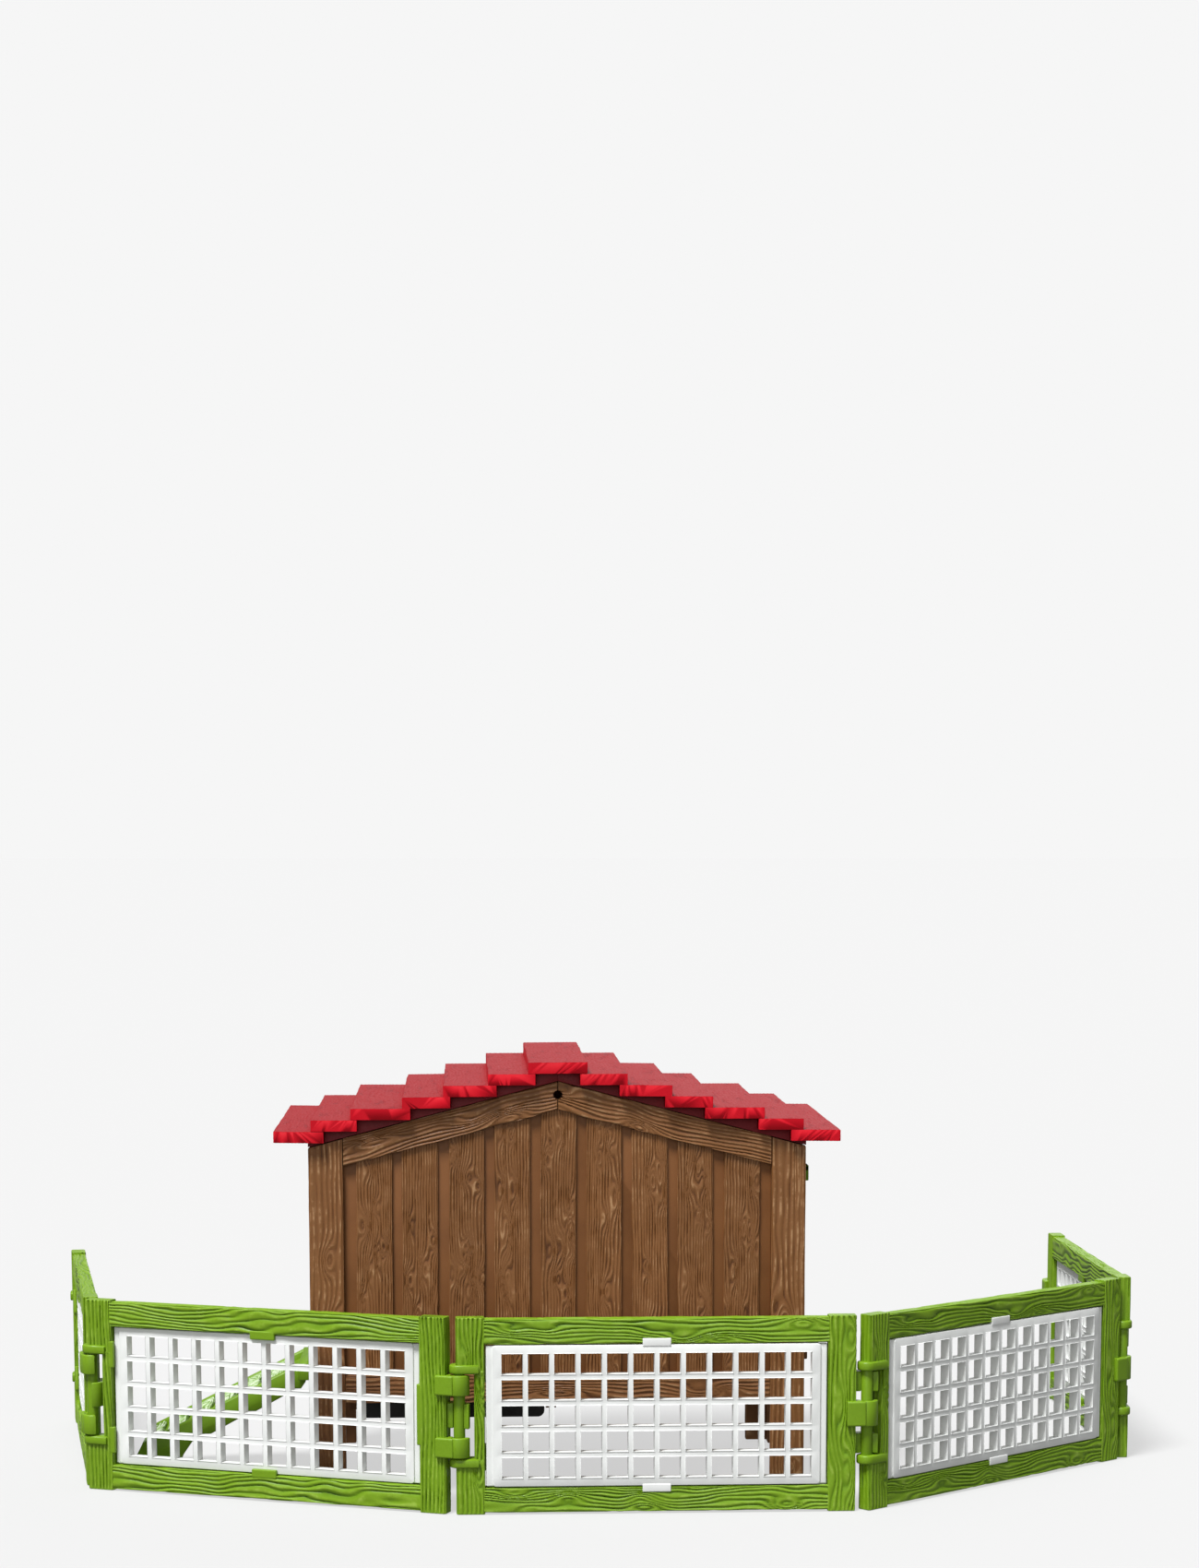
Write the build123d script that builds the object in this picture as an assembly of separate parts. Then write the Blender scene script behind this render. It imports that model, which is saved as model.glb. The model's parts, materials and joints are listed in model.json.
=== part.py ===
from build123d import *
from math import cos, radians, sin
import os

# Toy rabbit hutch: a plank house on legs with a lift-off stepped roof, a ramp, hinged mesh
# doors, a pull-out tray and a run of five clip-together fence panels. Millimetres, +Z up.
#
# The hutch is laid out with the rear gable's outer face on y = 0, facing -Y, and x = 0 on the
# ridge. Before export everything is moved so that the origin is the middle of the whole set's
# footprint, on the ground.

os.makedirs("parts", exist_ok=True)

# ---- hutch ---------------------------------------------------------------------------------
HOUSE_W = 147.0          # across the corner posts
HOUSE_D = 90.0           # from gable face to gable face
EAVE_Z = 104.6           # wall height at the outside of a corner post
APEX_Z = 123.8           # wall height at the ridge
WALL_T = 3.6             # whole wall, trim included
POST_W = 10.2            # width of a corner post's two arms
WALL_X = HOUSE_W / 2 - WALL_T   # inner face of a side wall
RAIL_BOTTOM = 28.2       # underside of the walls, clear of the ground
RAIL_TOP = 36.6
BASE_FACE = 1.9          # depth of the grooves behind the trim's face
PLANK_FACE = 0.9
RAIL_FACE = 0.3
PLANK_W = 10.9
PLANK_PITCH = 13.6
FASCIA_DROP_OUT = 8.0    # height of the rake board at the post
FASCIA_DROP_IN = 8.5     # and at the ridge
PEG_HOLE_R = 1.3
PEG_HOLE_Z = 119.9
DECK_Z = 33.0
DECK_T = 3.4
BRACKET_T = 2.6          # the blocks that hold the hinge rods' ends
BRACKET_HALF = 2.0
THROUGH = 6.0            # how far a cutter runs past what it cuts

# ---- roof ----------------------------------------------------------------------------------
ROOF_OVERHANG = 2.5      # past each gable
COURSE_Z = 106.2         # underside of the lowest board
COURSE_RISE = 3.34
BOARD_T = 3.4
COURSES = ((83.6, 68.6), (72.6, 58.9), (61.1, 43.2), (45.9, 31.4), (33.8, 18.0), (20.7, 6.4))
RIDGE_W = 17.5
PLATE_T = 2.2            # sloping plate below the boards, measured upright
ROOF_GAP = 0.1           # between the plate and the walls it lies on
LIP_DROP = 7.0           # locating lips inside the walls
LIP_T = 1.6
LIP_GAP = 0.5
END_LIP_X0, END_LIP_X1 = -44.0, -34.0
SIDE_LIP_FROM_GABLE = 14.0

# ---- doors ---------------------------------------------------------------------------------
DOOR_ROD_R = 1.0
ROD_OUT = 0.2            # how far a door rod's axis stands out of the wall's face
DOOR_BORE_R = 1.06
KNUCKLE_R = 1.9
LEAF_T = 3.6
LEAF_FRAME = 6.0
MESH_T = 2.4
MESH_GAP = 0.25          # above and below a door's mesh
KNUCKLE_H = 7.0
FRONT_HALF = 61.2        # half-width of the front opening
FRONT_SILL = 38.0
FRONT_HEAD = 96.4
BUTTON_Z = FRONT_HEAD + 4
FRONT_ROD_X = 59.0
FRONT_ROD_Y = HOUSE_D + ROD_OUT
SIDE_Y0, SIDE_Y1 = 16.0, 74.0
SIDE_SILL = 38.0
SIDE_HEAD = 97.4
SIDE_ROD_X = HOUSE_W / 2 + ROD_OUT
SIDE_ROD_Z = 40.4
DOOR_PLAY = 0.6
LEAF_SET = 0.2           # how far a leaf lies below the wall's face
KNUCKLE_INSET = 8.0      # from the ends of a front leaf's rod to its outer knuckles
SIDE_KNUCKLE_INSET = 9.0
KNOB_R, KNOB_T = 1.9, 1.8
KNOB_NECK_R, KNOB_NECK = 0.9, 1.6
BUTTON_BOSS_R = 2.6
BUTTON_HALF_L, BUTTON_HALF_W, BUTTON_T = 6.0, 1.7, 1.8
BUTTON_GAP = 0.3         # between the wall and the button's bar
BUTTON_HEAD_R, BUTTON_HEAD_T = 1.7, 1.0
LATCH_HALF, LATCH_OUT, LATCH_T = 3.0, 5.5, 2.0
LATCH_TOP, LATCH_LIP = 2.3, 4.8

# ---- ramp ----------------------------------------------------------------------------------
RAMP_Y0, RAMP_Y1 = 29.0, 61.0
RAMP_RAIL_T = 2.6
RAMP_ROD_X = -76.6
RAMP_ROD_Z = 33.2
RAMP_ROD_R = 1.2
RAMP_BORE_R = 1.28
RAMP_EAR_R = 2.7
RAMP_PLAY = 0.5          # between the ramp and its brackets
RAMP_SLOPE = 0.5
RAMP_TOP = 3.2           # the rails' top edge above the rod's axis
RAMP_DECK_DROP = 2.2     # the deck lies this far below the rails' top edge
RAMP_HEAD_Z = 27.9       # underside at the head
SHOULDER_BACK = 2.2      # the rails' shoulder stands back from the rod
RAMP_NOSE_X = -126.4     # where the straight top edge ends
RAMP_FOOT = ((-129.0, 6.4), (-130.3, 2.4), (-129.1, 0.0), (-117.6, 0.0), (-114.6, 7.0),
             (-111.3, 11.8))
FIRST_NOTCH = (-108.6, 14.1)
NOTCHES = 3
NOTCH_FLAT = 3.0         # level part of each notch of the underside
NOTCH_RISE = 4.6         # the slope after it climbs this much
NOTCH_LIP = 2.4          # and ends this short of the next notch
RAMP_STEP = 13.8         # from one notch of the underside to the next, level
TREADS = 6
TREAD_PITCH = 7.6        # level
FIRST_TREAD_X = -123.6
TREAD_SIDE_GAP = 0.1
DOORWAY_HALF = 14.0
DOORWAY_TOP = 80.0

# ---- tray ----------------------------------------------------------------------------------
TRAY_X0, TRAY_X1 = -60.5, -2.4
TRAY_Y0, TRAY_Y1 = 11.0, 83.0
TRAY_Z0, TRAY_Z1 = 21.9, 27.6
TRAY_WALL = 1.6
RIM = 1.6                # the tray's rim rides on the runners
RIM_T = 1.2
TRAY_CORNER_R = 2.0
RUNNER_T = 1.6
RUNNER_GAP = 0.3         # beside the rim
RUNNER_UNDER = 1.2       # how far the runner's foot reaches under the rim
RUNNER_FOOT_Z0, RUNNER_FOOT_Z1 = TRAY_Z1 - 3.0, TRAY_Z1 - 1.4

# ---- fence ---------------------------------------------------------------------------------
PITCH = 118.55           # from one hinge rod to the next
FENCE_H = 58.0
FRAME_T = 4.6
ROD_R = 1.7
HOOK_BORE_R = 1.78
HOOK_R = 3.3
CENTRE_HOOK = (25.3, 32.7)                       # heights of the three hooks: the middle
OUTER_HOOKS = ((16.9, 22.8), (35.2, 41.1))       # one opens one way, the outer two the other
HOOK_MOUTH = 0.5         # how far a hook's half ring runs past the rod's axis
HOOK_PAD_IN, HOOK_PAD_OUT = 6.2, 0.4             # the pad's ends, back from the rod's axis
HOOK_PAD_SINK, HOOK_PAD_PROUD = 0.6, 0.3
HOOK_BACK_IN, HOOK_BACK_OUT = 5.0, 2.4
STILE_IN = 7.4           # rod stile: from -1.0 to here
STILE_OUT = -1.0
HOOK_STILE_IN = 107.0
HOOK_STILE_OUT = PITCH - 3.3
RAIL_H = 8.0
RAIL_SET = 0.6           # the stiles' ends run past the rails by this
NOTCH_X = 4.3            # the gap beside the rod
NOTCH_Z0, NOTCH_Z1 = 16.5, 41.5
ARM_H = 2.6
ARM_T = 6.2
ARM_END_R = 2.9          # the arms are rounded about the rod
ARM_IN = 5.7             # where the arms end inside the rod stile
LUG_PROUD = 0.4          # lugs behind the grid's edge stand this far out of the frame
LUG_HALF = 4.0
LUG_REACH = 2.0          # over the opening at the top and the bottom
LUG_SIDE_REACH = 1.8     # over the opening at the sides
LUG_ROOT = 1.5
ROD_SIDE_LUGS = ((12.5, 20.5), (38.5, 46.5))
HOOK_SIDE_LUG = (20.0, 38.0)
TAB_HALF, TAB_T, TAB_H = 4.2, 1.2, 1.9           # the grid's tabs, top and bottom
TAB_NOTCH_HALF, TAB_NOTCH_T, TAB_NOTCH_H = 4.6, 1.6, 2.0
BEVEL_W, BEVEL_T = 1.9, 0.5                      # step along the grid's two ends
GRID_T = 3.0
GRID_SET = 0.2           # how far the grid lies below the frame's face
GRID_PLAY = 0.3
CELL = 7.62
HOLE = 6.1
COLUMNS, ROWS = 12, 5
FIRST_ROD = (-29.5, -25.9)
# how far each panel is turned about +Z, from the panel at the gable outwards
RIGHT_TURN, FAR_RIGHT_TURN = 40.3, 90.6
LEFT_TURN, FAR_LEFT_TURN = -21.5, -81.6


# ---- helpers -------------------------------------------------------------------------------
def block(x0, x1, y0, y1, z0, z1):
    """A box between two corners."""
    middle = Pos((x0 + x1) / 2, (y0 + y1) / 2, (z0 + z1) / 2)
    return middle * Box(abs(x1 - x0), abs(y1 - y0), abs(z1 - z0))


def prism_y(points, y0, y1):
    """Points (x, z) drawn in the XZ plane and run from y0 to y1."""
    plane = Plane(origin=(0, y1, 0), x_dir=(1, 0, 0), z_dir=(0, -1, 0))
    return extrude(plane * make_face(Polyline(*points, close=True)), y1 - y0)


def rod_z(radius, x, y, z0, z1):
    return Pos(x, y, (z0 + z1) / 2) * Cylinder(radius, z1 - z0)


def rod_y(radius, x, z, y0, y1):
    return Pos(x, (y0 + y1) / 2, z) * Rot(90, 0, 0) * Cylinder(radius, y1 - y0)


def mirror_x(part):
    return mirror(part, about=Plane.YZ)


def mirror_depth(part):
    """The same piece at the other gable."""
    return mirror(part, about=Plane(origin=(0, HOUSE_D / 2, 0), z_dir=(0, 1, 0)))


def under_roof(drop_out=0.0, drop_in=0.0, margin=5.0):
    """The space below the two roof slopes, lowered by drop_out at the posts, drop_in inside."""
    half = HOUSE_W / 2
    points = ((-half, -1), (-half, EAVE_Z - drop_out), (0, APEX_Z - drop_in),
              (half, EAVE_Z - drop_out), (half, -1))
    return prism_y(points, -margin, HOUSE_D + margin)


# ---- house ---------------------------------------------------------------------------------
def corner_post():
    """L-shaped post at the rear left, cut to the roof's slope; its foot stands on the ground."""
    half = HOUSE_W / 2
    gable_arm = block(-half, -half + POST_W, 0, WALL_T, 0, APEX_Z)
    side_arm = block(-half, -half + WALL_T, 0, POST_W, 0, APEX_Z)
    return (gable_arm + side_arm) & under_roof()


def gable_blank():
    """Rear gable wall: base plate, raised planks, rake boards under the roof, bottom rail."""
    half = HOUSE_W / 2 - POST_W
    envelope = under_roof()
    below_fascia = under_roof(FASCIA_DROP_OUT, FASCIA_DROP_IN)
    wall = block(-half, half, BASE_FACE, WALL_T, RAIL_BOTTOM, APEX_Z) & envelope
    wall += (block(-half, half, 0, BASE_FACE, RAIL_TOP, APEX_Z) & envelope) - below_fascia
    wall += block(-half, half, RAIL_FACE, BASE_FACE, RAIL_BOTTOM, RAIL_TOP)
    for index in range(-4, 5):
        x = index * PLANK_PITCH
        plank = block(x - PLANK_W / 2, x + PLANK_W / 2, PLANK_FACE, BASE_FACE, RAIL_TOP, APEX_Z)
        wall += plank & below_fascia
    return wall - rod_y(PEG_HOLE_R, 0, PEG_HOLE_Z, -1, WALL_T + 1)


def front_gable():
    """The same wall at the front, with one opening for both doors and the rods' brackets."""
    wall = mirror_depth(gable_blank())
    y0, y1 = HOUSE_D - THROUGH, HOUSE_D + THROUGH
    wall -= block(-FRONT_HALF, FRONT_HALF, y0, y1, FRONT_SILL, FRONT_HEAD)
    for x in (-FRONT_ROD_X, FRONT_ROD_X):
        for z0 in (FRONT_SILL - BRACKET_T, FRONT_HEAD):
            wall += block(x - BRACKET_HALF, x + BRACKET_HALF, HOUSE_D - WALL_T,
                          FRONT_ROD_Y + BRACKET_HALF, z0, z0 + BRACKET_T)
    wall += rod_y(BUTTON_BOSS_R, 0, BUTTON_Z, HOUSE_D - WALL_T, HOUSE_D + BUTTON_GAP / 3)
    return wall - rod_y(DOOR_BORE_R, 0, BUTTON_Z, y0, y1)


def side_blank():
    """Left side wall between the posts: base plate, upright planks, top and bottom rails."""
    y0, y1 = POST_W, HOUSE_D - POST_W
    outside = -HOUSE_W / 2
    wall = block(outside + BASE_FACE, -WALL_X, y0, y1, RAIL_BOTTOM, APEX_Z)
    wall += block(outside + RAIL_FACE, -WALL_X, y0, y1, RAIL_BOTTOM, RAIL_TOP)
    wall += block(outside, -WALL_X, y0, y1, SIDE_HEAD, APEX_Z)
    for index in range(-2, 3):
        y = HOUSE_D / 2 + index * PLANK_PITCH
        y_low, y_high = max(y - PLANK_W / 2, y0), min(y + PLANK_W / 2, y1)
        wall += block(outside + PLANK_FACE, -WALL_X, y_low, y_high, RAIL_TOP, SIDE_HEAD)
    return wall & under_roof()


def left_side_wall():
    """Side wall with the round-topped doorway and the two brackets of the ramp's rod."""
    y = HOUSE_D / 2
    outside = -HOUSE_W / 2
    wall = side_blank()
    wall -= block(outside - 1, -WALL_X + 1, y - DOORWAY_HALF, y + DOORWAY_HALF,
                  RAIL_TOP, DOORWAY_TOP - DOORWAY_HALF)
    arch = Pos(outside, y, DOORWAY_TOP - DOORWAY_HALF) * Rot(0, 90, 0)
    wall -= arch * Cylinder(DOORWAY_HALF, 4 * WALL_T)
    half = BRACKET_HALF + 0.2
    for y0 in (RAMP_Y0 - RAMP_PLAY - BRACKET_T, RAMP_Y1 + RAMP_PLAY):
        wall += block(RAMP_ROD_X - half, outside + BASE_FACE, y0, y0 + BRACKET_T,
                      RAMP_ROD_Z - half, RAMP_ROD_Z + half)
    return wall


def right_side_wall():
    """Side wall with the opening of the drop-down door and the brackets of its rod."""
    wall = mirror_x(side_blank())
    wall -= block(WALL_X - 1, HOUSE_W / 2 + 1, SIDE_Y0, SIDE_Y1, SIDE_SILL, SIDE_HEAD)
    for y0 in (SIDE_Y0 - BRACKET_T, SIDE_Y1):
        wall += block(WALL_X, SIDE_ROD_X + BRACKET_HALF, y0, y0 + BRACKET_T,
                      SIDE_ROD_Z - BRACKET_HALF, SIDE_ROD_Z + BRACKET_HALF)
    return wall


def floor_deck():
    return block(-WALL_X, WALL_X, WALL_T, HOUSE_D - WALL_T, DECK_Z, DECK_Z + DECK_T)


# ---- roof ----------------------------------------------------------------------------------
def roof_slope():
    """Left slope: a plate along the walls' tops with six level boards stepped up it."""
    half = HOUSE_W / 2
    low = ROOF_GAP
    plate = prism_y(((-half, EAVE_Z + low), (0, APEX_Z + low), (0, APEX_Z + PLATE_T),
                     (-half, EAVE_Z + PLATE_T)), 0, HOUSE_D)
    slope = plate
    for index, (outer, inner) in enumerate(COURSES):
        z = COURSE_Z + index * COURSE_RISE
        slope += block(-outer, -inner, -ROOF_OVERHANG, HOUSE_D + ROOF_OVERHANG, z, z + BOARD_T)
    top_band = under_roof() - under_roof(LIP_DROP, LIP_DROP)
    x0 = -WALL_X + LIP_GAP
    lips = block(x0, x0 + LIP_T, SIDE_LIP_FROM_GABLE, HOUSE_D - SIDE_LIP_FROM_GABLE, 0, APEX_Z)
    from_gable = WALL_T + LIP_GAP
    for y0 in (from_gable, HOUSE_D - from_gable - LIP_T):
        lips += block(END_LIP_X0, END_LIP_X1, y0, y0 + LIP_T, 0, APEX_Z)
    return slope + (lips & Pos(0, 0, 1.5 * ROOF_GAP) * top_band)


def ridge_board():
    z = COURSE_Z + (len(COURSES) - 1) * COURSE_RISE + BOARD_T
    return block(-RIDGE_W / 2, RIDGE_W / 2, -ROOF_OVERHANG, HOUSE_D + ROOF_OVERHANG,
                 z, z + BOARD_T)


# ---- doors ---------------------------------------------------------------------------------
def mesh_grid(width, height, thickness, columns, rows, pitch, hole):
    """A plate in the XZ plane, centred on the origin, with a grid of square holes."""
    plate = Box(width, thickness, height)
    cutter = Box(hole, 3 * thickness, hole)
    holes = [Pos((c - (columns - 1) / 2) * pitch, 0, (r - (rows - 1) / 2) * pitch) * cutter
             for c in range(columns) for r in range(rows)]
    return plate - holes


def leaf_frame(width, height):
    """A door's frame in the XZ plane, centred on the origin."""
    inner = Box(width - 2 * LEAF_FRAME, 2 * LEAF_T, height - 2 * LEAF_FRAME)
    return Box(width, LEAF_T, height) - inner


def leaf_mesh(width, height):
    inner_w = width - 2 * LEAF_FRAME
    inner_h = height - 2 * LEAF_FRAME - 2 * MESH_GAP
    columns, rows = int((inner_w - 3) // CELL), int((inner_h - 3) // CELL)
    return mesh_grid(inner_w, inner_h, MESH_T, columns, rows, CELL, HOLE)


KNUCKLE_ROOM = 2.6       # from a rod's axis to its leaf's edge
FRONT_LEAF_W = FRONT_ROD_X - KNUCKLE_ROOM - DOOR_PLAY / 2
FRONT_LEAF_H = FRONT_HEAD - FRONT_SILL - 2 * DOOR_PLAY
FRONT_LEAF_AT = (DOOR_PLAY / 2 + FRONT_LEAF_W / 2, HOUSE_D - LEAF_T / 2 - LEAF_SET,
                 (FRONT_SILL + FRONT_HEAD) / 2)


def front_leaf():
    """Right front door: its three knuckles turn on the rod at its outer edge."""
    leaf = Pos(*FRONT_LEAF_AT) * leaf_frame(FRONT_LEAF_W, FRONT_LEAF_H)
    x_edge = FRONT_LEAF_AT[0] + FRONT_LEAF_W / 2
    for z in (FRONT_SILL + KNUCKLE_INSET, FRONT_LEAF_AT[2], FRONT_HEAD - KNUCKLE_INSET):
        z0, z1 = z - KNUCKLE_H / 2, z + KNUCKLE_H / 2
        link = block(x_edge - 2, FRONT_ROD_X, FRONT_ROD_Y - KNUCKLE_R, HOUSE_D - LEAF_SET, z0, z1)
        knuckle = link + rod_z(KNUCKLE_R, FRONT_ROD_X, FRONT_ROD_Y, z0, z1)
        leaf += knuckle - rod_z(DOOR_BORE_R, FRONT_ROD_X, FRONT_ROD_Y, z0 - 1, z1 + 1)
    return leaf


def front_mesh():
    return Pos(*FRONT_LEAF_AT) * leaf_mesh(FRONT_LEAF_W, FRONT_LEAF_H)


def door_knob():
    """Round pull on the right front door's inner stile."""
    x, z = FRONT_LEAF_AT[0] - FRONT_LEAF_W / 2 + LEAF_FRAME / 2, FRONT_LEAF_AT[2]
    face = HOUSE_D - LEAF_SET
    neck_end = face + KNOB_NECK
    return rod_y(KNOB_NECK_R, x, z, face, neck_end) + rod_y(KNOB_R, x, z, neck_end, neck_end + KNOB_T)


def turn_button():
    """Turn button above the doors; level, it frees them, and upright it holds both shut."""
    z, face = BUTTON_Z, HOUSE_D + BUTTON_GAP
    inner = HOUSE_D - WALL_T - 0.8
    bar = block(-BUTTON_HALF_L, BUTTON_HALF_L, face, face + BUTTON_T,
                z - BUTTON_HALF_W, z + BUTTON_HALF_W)
    pin = rod_y(DOOR_ROD_R, 0, z, inner, face)
    return bar + pin + rod_y(BUTTON_HEAD_R, 0, z, inner - BUTTON_HEAD_T, inner)


SIDE_LEAF_W = SIDE_Y1 - SIDE_Y0 - 2 * DOOR_PLAY
SIDE_LEAF_Z0 = SIDE_ROD_Z + KNUCKLE_ROOM
SIDE_LEAF_H = SIDE_HEAD - DOOR_PLAY - SIDE_LEAF_Z0
SIDE_LEAF_AT = (HOUSE_W / 2 - LEAF_T / 2 - LEAF_SET, (SIDE_Y0 + SIDE_Y1) / 2,
                SIDE_LEAF_Z0 + SIDE_LEAF_H / 2)


def side_leaf():
    """Drop-down door in the right side wall, turning on a level rod along its foot."""
    leaf = Pos(*SIDE_LEAF_AT) * Rot(0, 0, 90) * leaf_frame(SIDE_LEAF_W, SIDE_LEAF_H)
    for y in (SIDE_Y0 + SIDE_KNUCKLE_INSET, SIDE_Y1 - SIDE_KNUCKLE_INSET):
        y0, y1 = y - KNUCKLE_H / 2, y + KNUCKLE_H / 2
        link = block(SIDE_ROD_X - KNUCKLE_R, HOUSE_W / 2 - LEAF_SET, y0, y1, SIDE_ROD_Z,
                     SIDE_LEAF_Z0 + 2)
        knuckle = link + rod_y(KNUCKLE_R, SIDE_ROD_X, SIDE_ROD_Z, y0, y1)
        leaf += knuckle - rod_y(DOOR_BORE_R, SIDE_ROD_X, SIDE_ROD_Z, y0 - 1, y1 + 1)
    return leaf


def side_mesh():
    return Pos(*SIDE_LEAF_AT) * Rot(0, 0, 90) * leaf_mesh(SIDE_LEAF_W, SIDE_LEAF_H)


def side_latch():
    """Lug at the top of the side door, with a lip to pull it down by."""
    x0, y = HOUSE_W / 2 - LEAF_SET, SIDE_LEAF_AT[1]
    x1 = x0 + LATCH_OUT
    top = SIDE_HEAD - DOOR_PLAY - LATCH_TOP
    stem = block(x0, x1, y - LATCH_HALF, y + LATCH_HALF, top - LATCH_T, top)
    return stem + block(x1 - LATCH_T + 0.2, x1, y - LATCH_HALF, y + LATCH_HALF, top - LATCH_LIP, top)


# ---- ramp ----------------------------------------------------------------------------------
def ramp_top(x):
    """Height of the side rails' top edge."""
    return RAMP_ROD_Z + RAMP_TOP + RAMP_SLOPE * (x - RAMP_ROD_X)


def ramp_outline(lower_top=0.0):
    """Side view of the ramp: blunt rounded foot, straight top, an underside in four steps."""
    shoulder = RAMP_ROD_X - SHOULDER_BACK
    points = [(RAMP_ROD_X, RAMP_ROD_Z)]
    points += [(x, ramp_top(x) - lower_top) for x in (shoulder, RAMP_NOSE_X)]
    points += RAMP_FOOT
    for notch in range(NOTCHES):
        x = FIRST_NOTCH[0] + notch * RAMP_STEP
        z = FIRST_NOTCH[1] + notch * RAMP_STEP * RAMP_SLOPE
        points += [(x, z), (x + NOTCH_FLAT, z)]
        if notch < NOTCHES - 1:
            points.append((x + RAMP_STEP - NOTCH_LIP, z + NOTCH_RISE))
    points.append((RAMP_ROD_X, RAMP_HEAD_Z))
    return points


def ramp_frame():
    """Side rails and sunk deck in one piece, with an ear over the hinge rod at its head."""
    frame = prism_y(ramp_outline(RAMP_DECK_DROP), RAMP_Y0 + RAMP_RAIL_T, RAMP_Y1 - RAMP_RAIL_T)
    for y0 in (RAMP_Y0, RAMP_Y1 - RAMP_RAIL_T):
        frame += prism_y(ramp_outline(), y0, y0 + RAMP_RAIL_T)
    frame += rod_y(RAMP_EAR_R, RAMP_ROD_X, RAMP_ROD_Z, RAMP_Y0, RAMP_Y1)
    return frame - rod_y(RAMP_BORE_R, RAMP_ROD_X, RAMP_ROD_Z, RAMP_Y0 - 1, RAMP_Y1 + 1)


def ramp_tread(index):
    """One cross board lying on the sunk deck, between the side rails."""
    x = FIRST_TREAD_X + index * TREAD_PITCH
    z = ramp_top(x) - RAMP_DECK_DROP
    points = ((x - 2.6, z - 1.3), (x + 2.6, z + 1.3), (x + 2.2, z + 2.9), (x - 3.0, z + 0.3))
    inside = RAMP_RAIL_T + TREAD_SIDE_GAP
    return prism_y(points, RAMP_Y0 + inside, RAMP_Y1 - inside)


# ---- tray ----------------------------------------------------------------------------------
def droppings_tray():
    """Shallow open tray; the rims along its top sides hang on the runners."""
    tray = block(TRAY_X0 + RIM, TRAY_X1 - RIM, TRAY_Y0, TRAY_Y1, TRAY_Z0, TRAY_Z1)
    tray = fillet(tray.edges().filter_by(Axis.Y).group_by(Axis.Z)[0], TRAY_CORNER_R)
    tray += block(TRAY_X0, TRAY_X1, TRAY_Y0, TRAY_Y1, TRAY_Z1 - RIM_T, TRAY_Z1)
    return tray - block(TRAY_X0 + RIM + TRAY_WALL, TRAY_X1 - RIM - TRAY_WALL,
                        TRAY_Y0 + TRAY_WALL, TRAY_Y1 - TRAY_WALL,
                        TRAY_Z0 + TRAY_WALL, TRAY_Z1 + THROUGH)


def tray_runner(side):
    """L-shaped runner below the deck; side -1 is the left one, 1 the right one."""
    edge = TRAY_X0 if side < 0 else TRAY_X1
    outer = edge + side * (RUNNER_GAP + RUNNER_T)
    wall = sorted((edge + side * RUNNER_GAP, outer))
    foot = sorted((edge - side * RUNNER_UNDER, outer))
    runner = block(*wall, TRAY_Y0, TRAY_Y1 - 1, RUNNER_FOOT_Z0, DECK_Z)
    return runner + block(*foot, TRAY_Y0, TRAY_Y1 - 1, RUNNER_FOOT_Z0, RUNNER_FOOT_Z1)


# ---- fence ---------------------------------------------------------------------------------
def hook(z0, z1, side):
    """Half-round hook over the next panel's rod, with its pad on one face (side -1 or 1)."""
    half_t = FRAME_T / 2
    ring = rod_z(HOOK_R, PITCH, 0, z0, z1)
    keep = sorted((-side * HOOK_MOUTH, side * (HOOK_R + 1)))
    ring &= block(PITCH - HOOK_R - 1, PITCH + HOOK_R + 1, *keep, z0, z1)
    pad = sorted((side * (half_t - HOOK_PAD_SINK), side * (HOOK_R + HOOK_PAD_PROUD)))
    ring += block(PITCH - HOOK_PAD_IN, PITCH - HOOK_PAD_OUT, *pad, z0, z1)
    back = sorted((side * HOOK_PAD_SINK, side * half_t))
    ring += block(PITCH - HOOK_BACK_IN, PITCH - HOOK_BACK_OUT, *back, z0, z1)
    return ring - rod_z(HOOK_BORE_R, PITCH, 0, z0 - 1, z1 + 1)


def hinge_end():
    """Block of the rod's two arms, rounded about the rod; the gap between them is cut later."""
    half = ARM_T / 2
    arm_z0, arm_z1 = NOTCH_Z0 - ARM_H, NOTCH_Z1 + ARM_H
    end = block(0, ARM_IN, -half, half, arm_z0, arm_z1)
    end += rod_z(ARM_END_R, 0, 0, arm_z0, arm_z1)
    return end


def grid_lugs():
    """Lugs behind the grid's edges: top, bottom, two on the rod's side and a long one."""
    y0, y1 = -FRAME_T / 2 + GRID_SET + GRID_T, FRAME_T / 2 + LUG_PROUD
    middle = (STILE_IN + HOOK_STILE_IN) / 2
    x0, x1 = middle - LUG_HALF, middle + LUG_HALF
    lugs = block(x0, x1, y0, y1, RAIL_H - LUG_ROOT, RAIL_H + LUG_REACH)
    upper = FENCE_H - RAIL_H
    lugs += block(x0, x1, y0, y1, upper - LUG_REACH, upper + LUG_ROOT)
    for z0, z1 in ROD_SIDE_LUGS:
        lugs += block(STILE_IN - 1, STILE_IN + LUG_SIDE_REACH, y0, y1, z0, z1)
    return lugs + block(HOOK_STILE_IN - LUG_SIDE_REACH, HOOK_STILE_IN + 1, y0, y1, *HOOK_SIDE_LUG)


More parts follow.
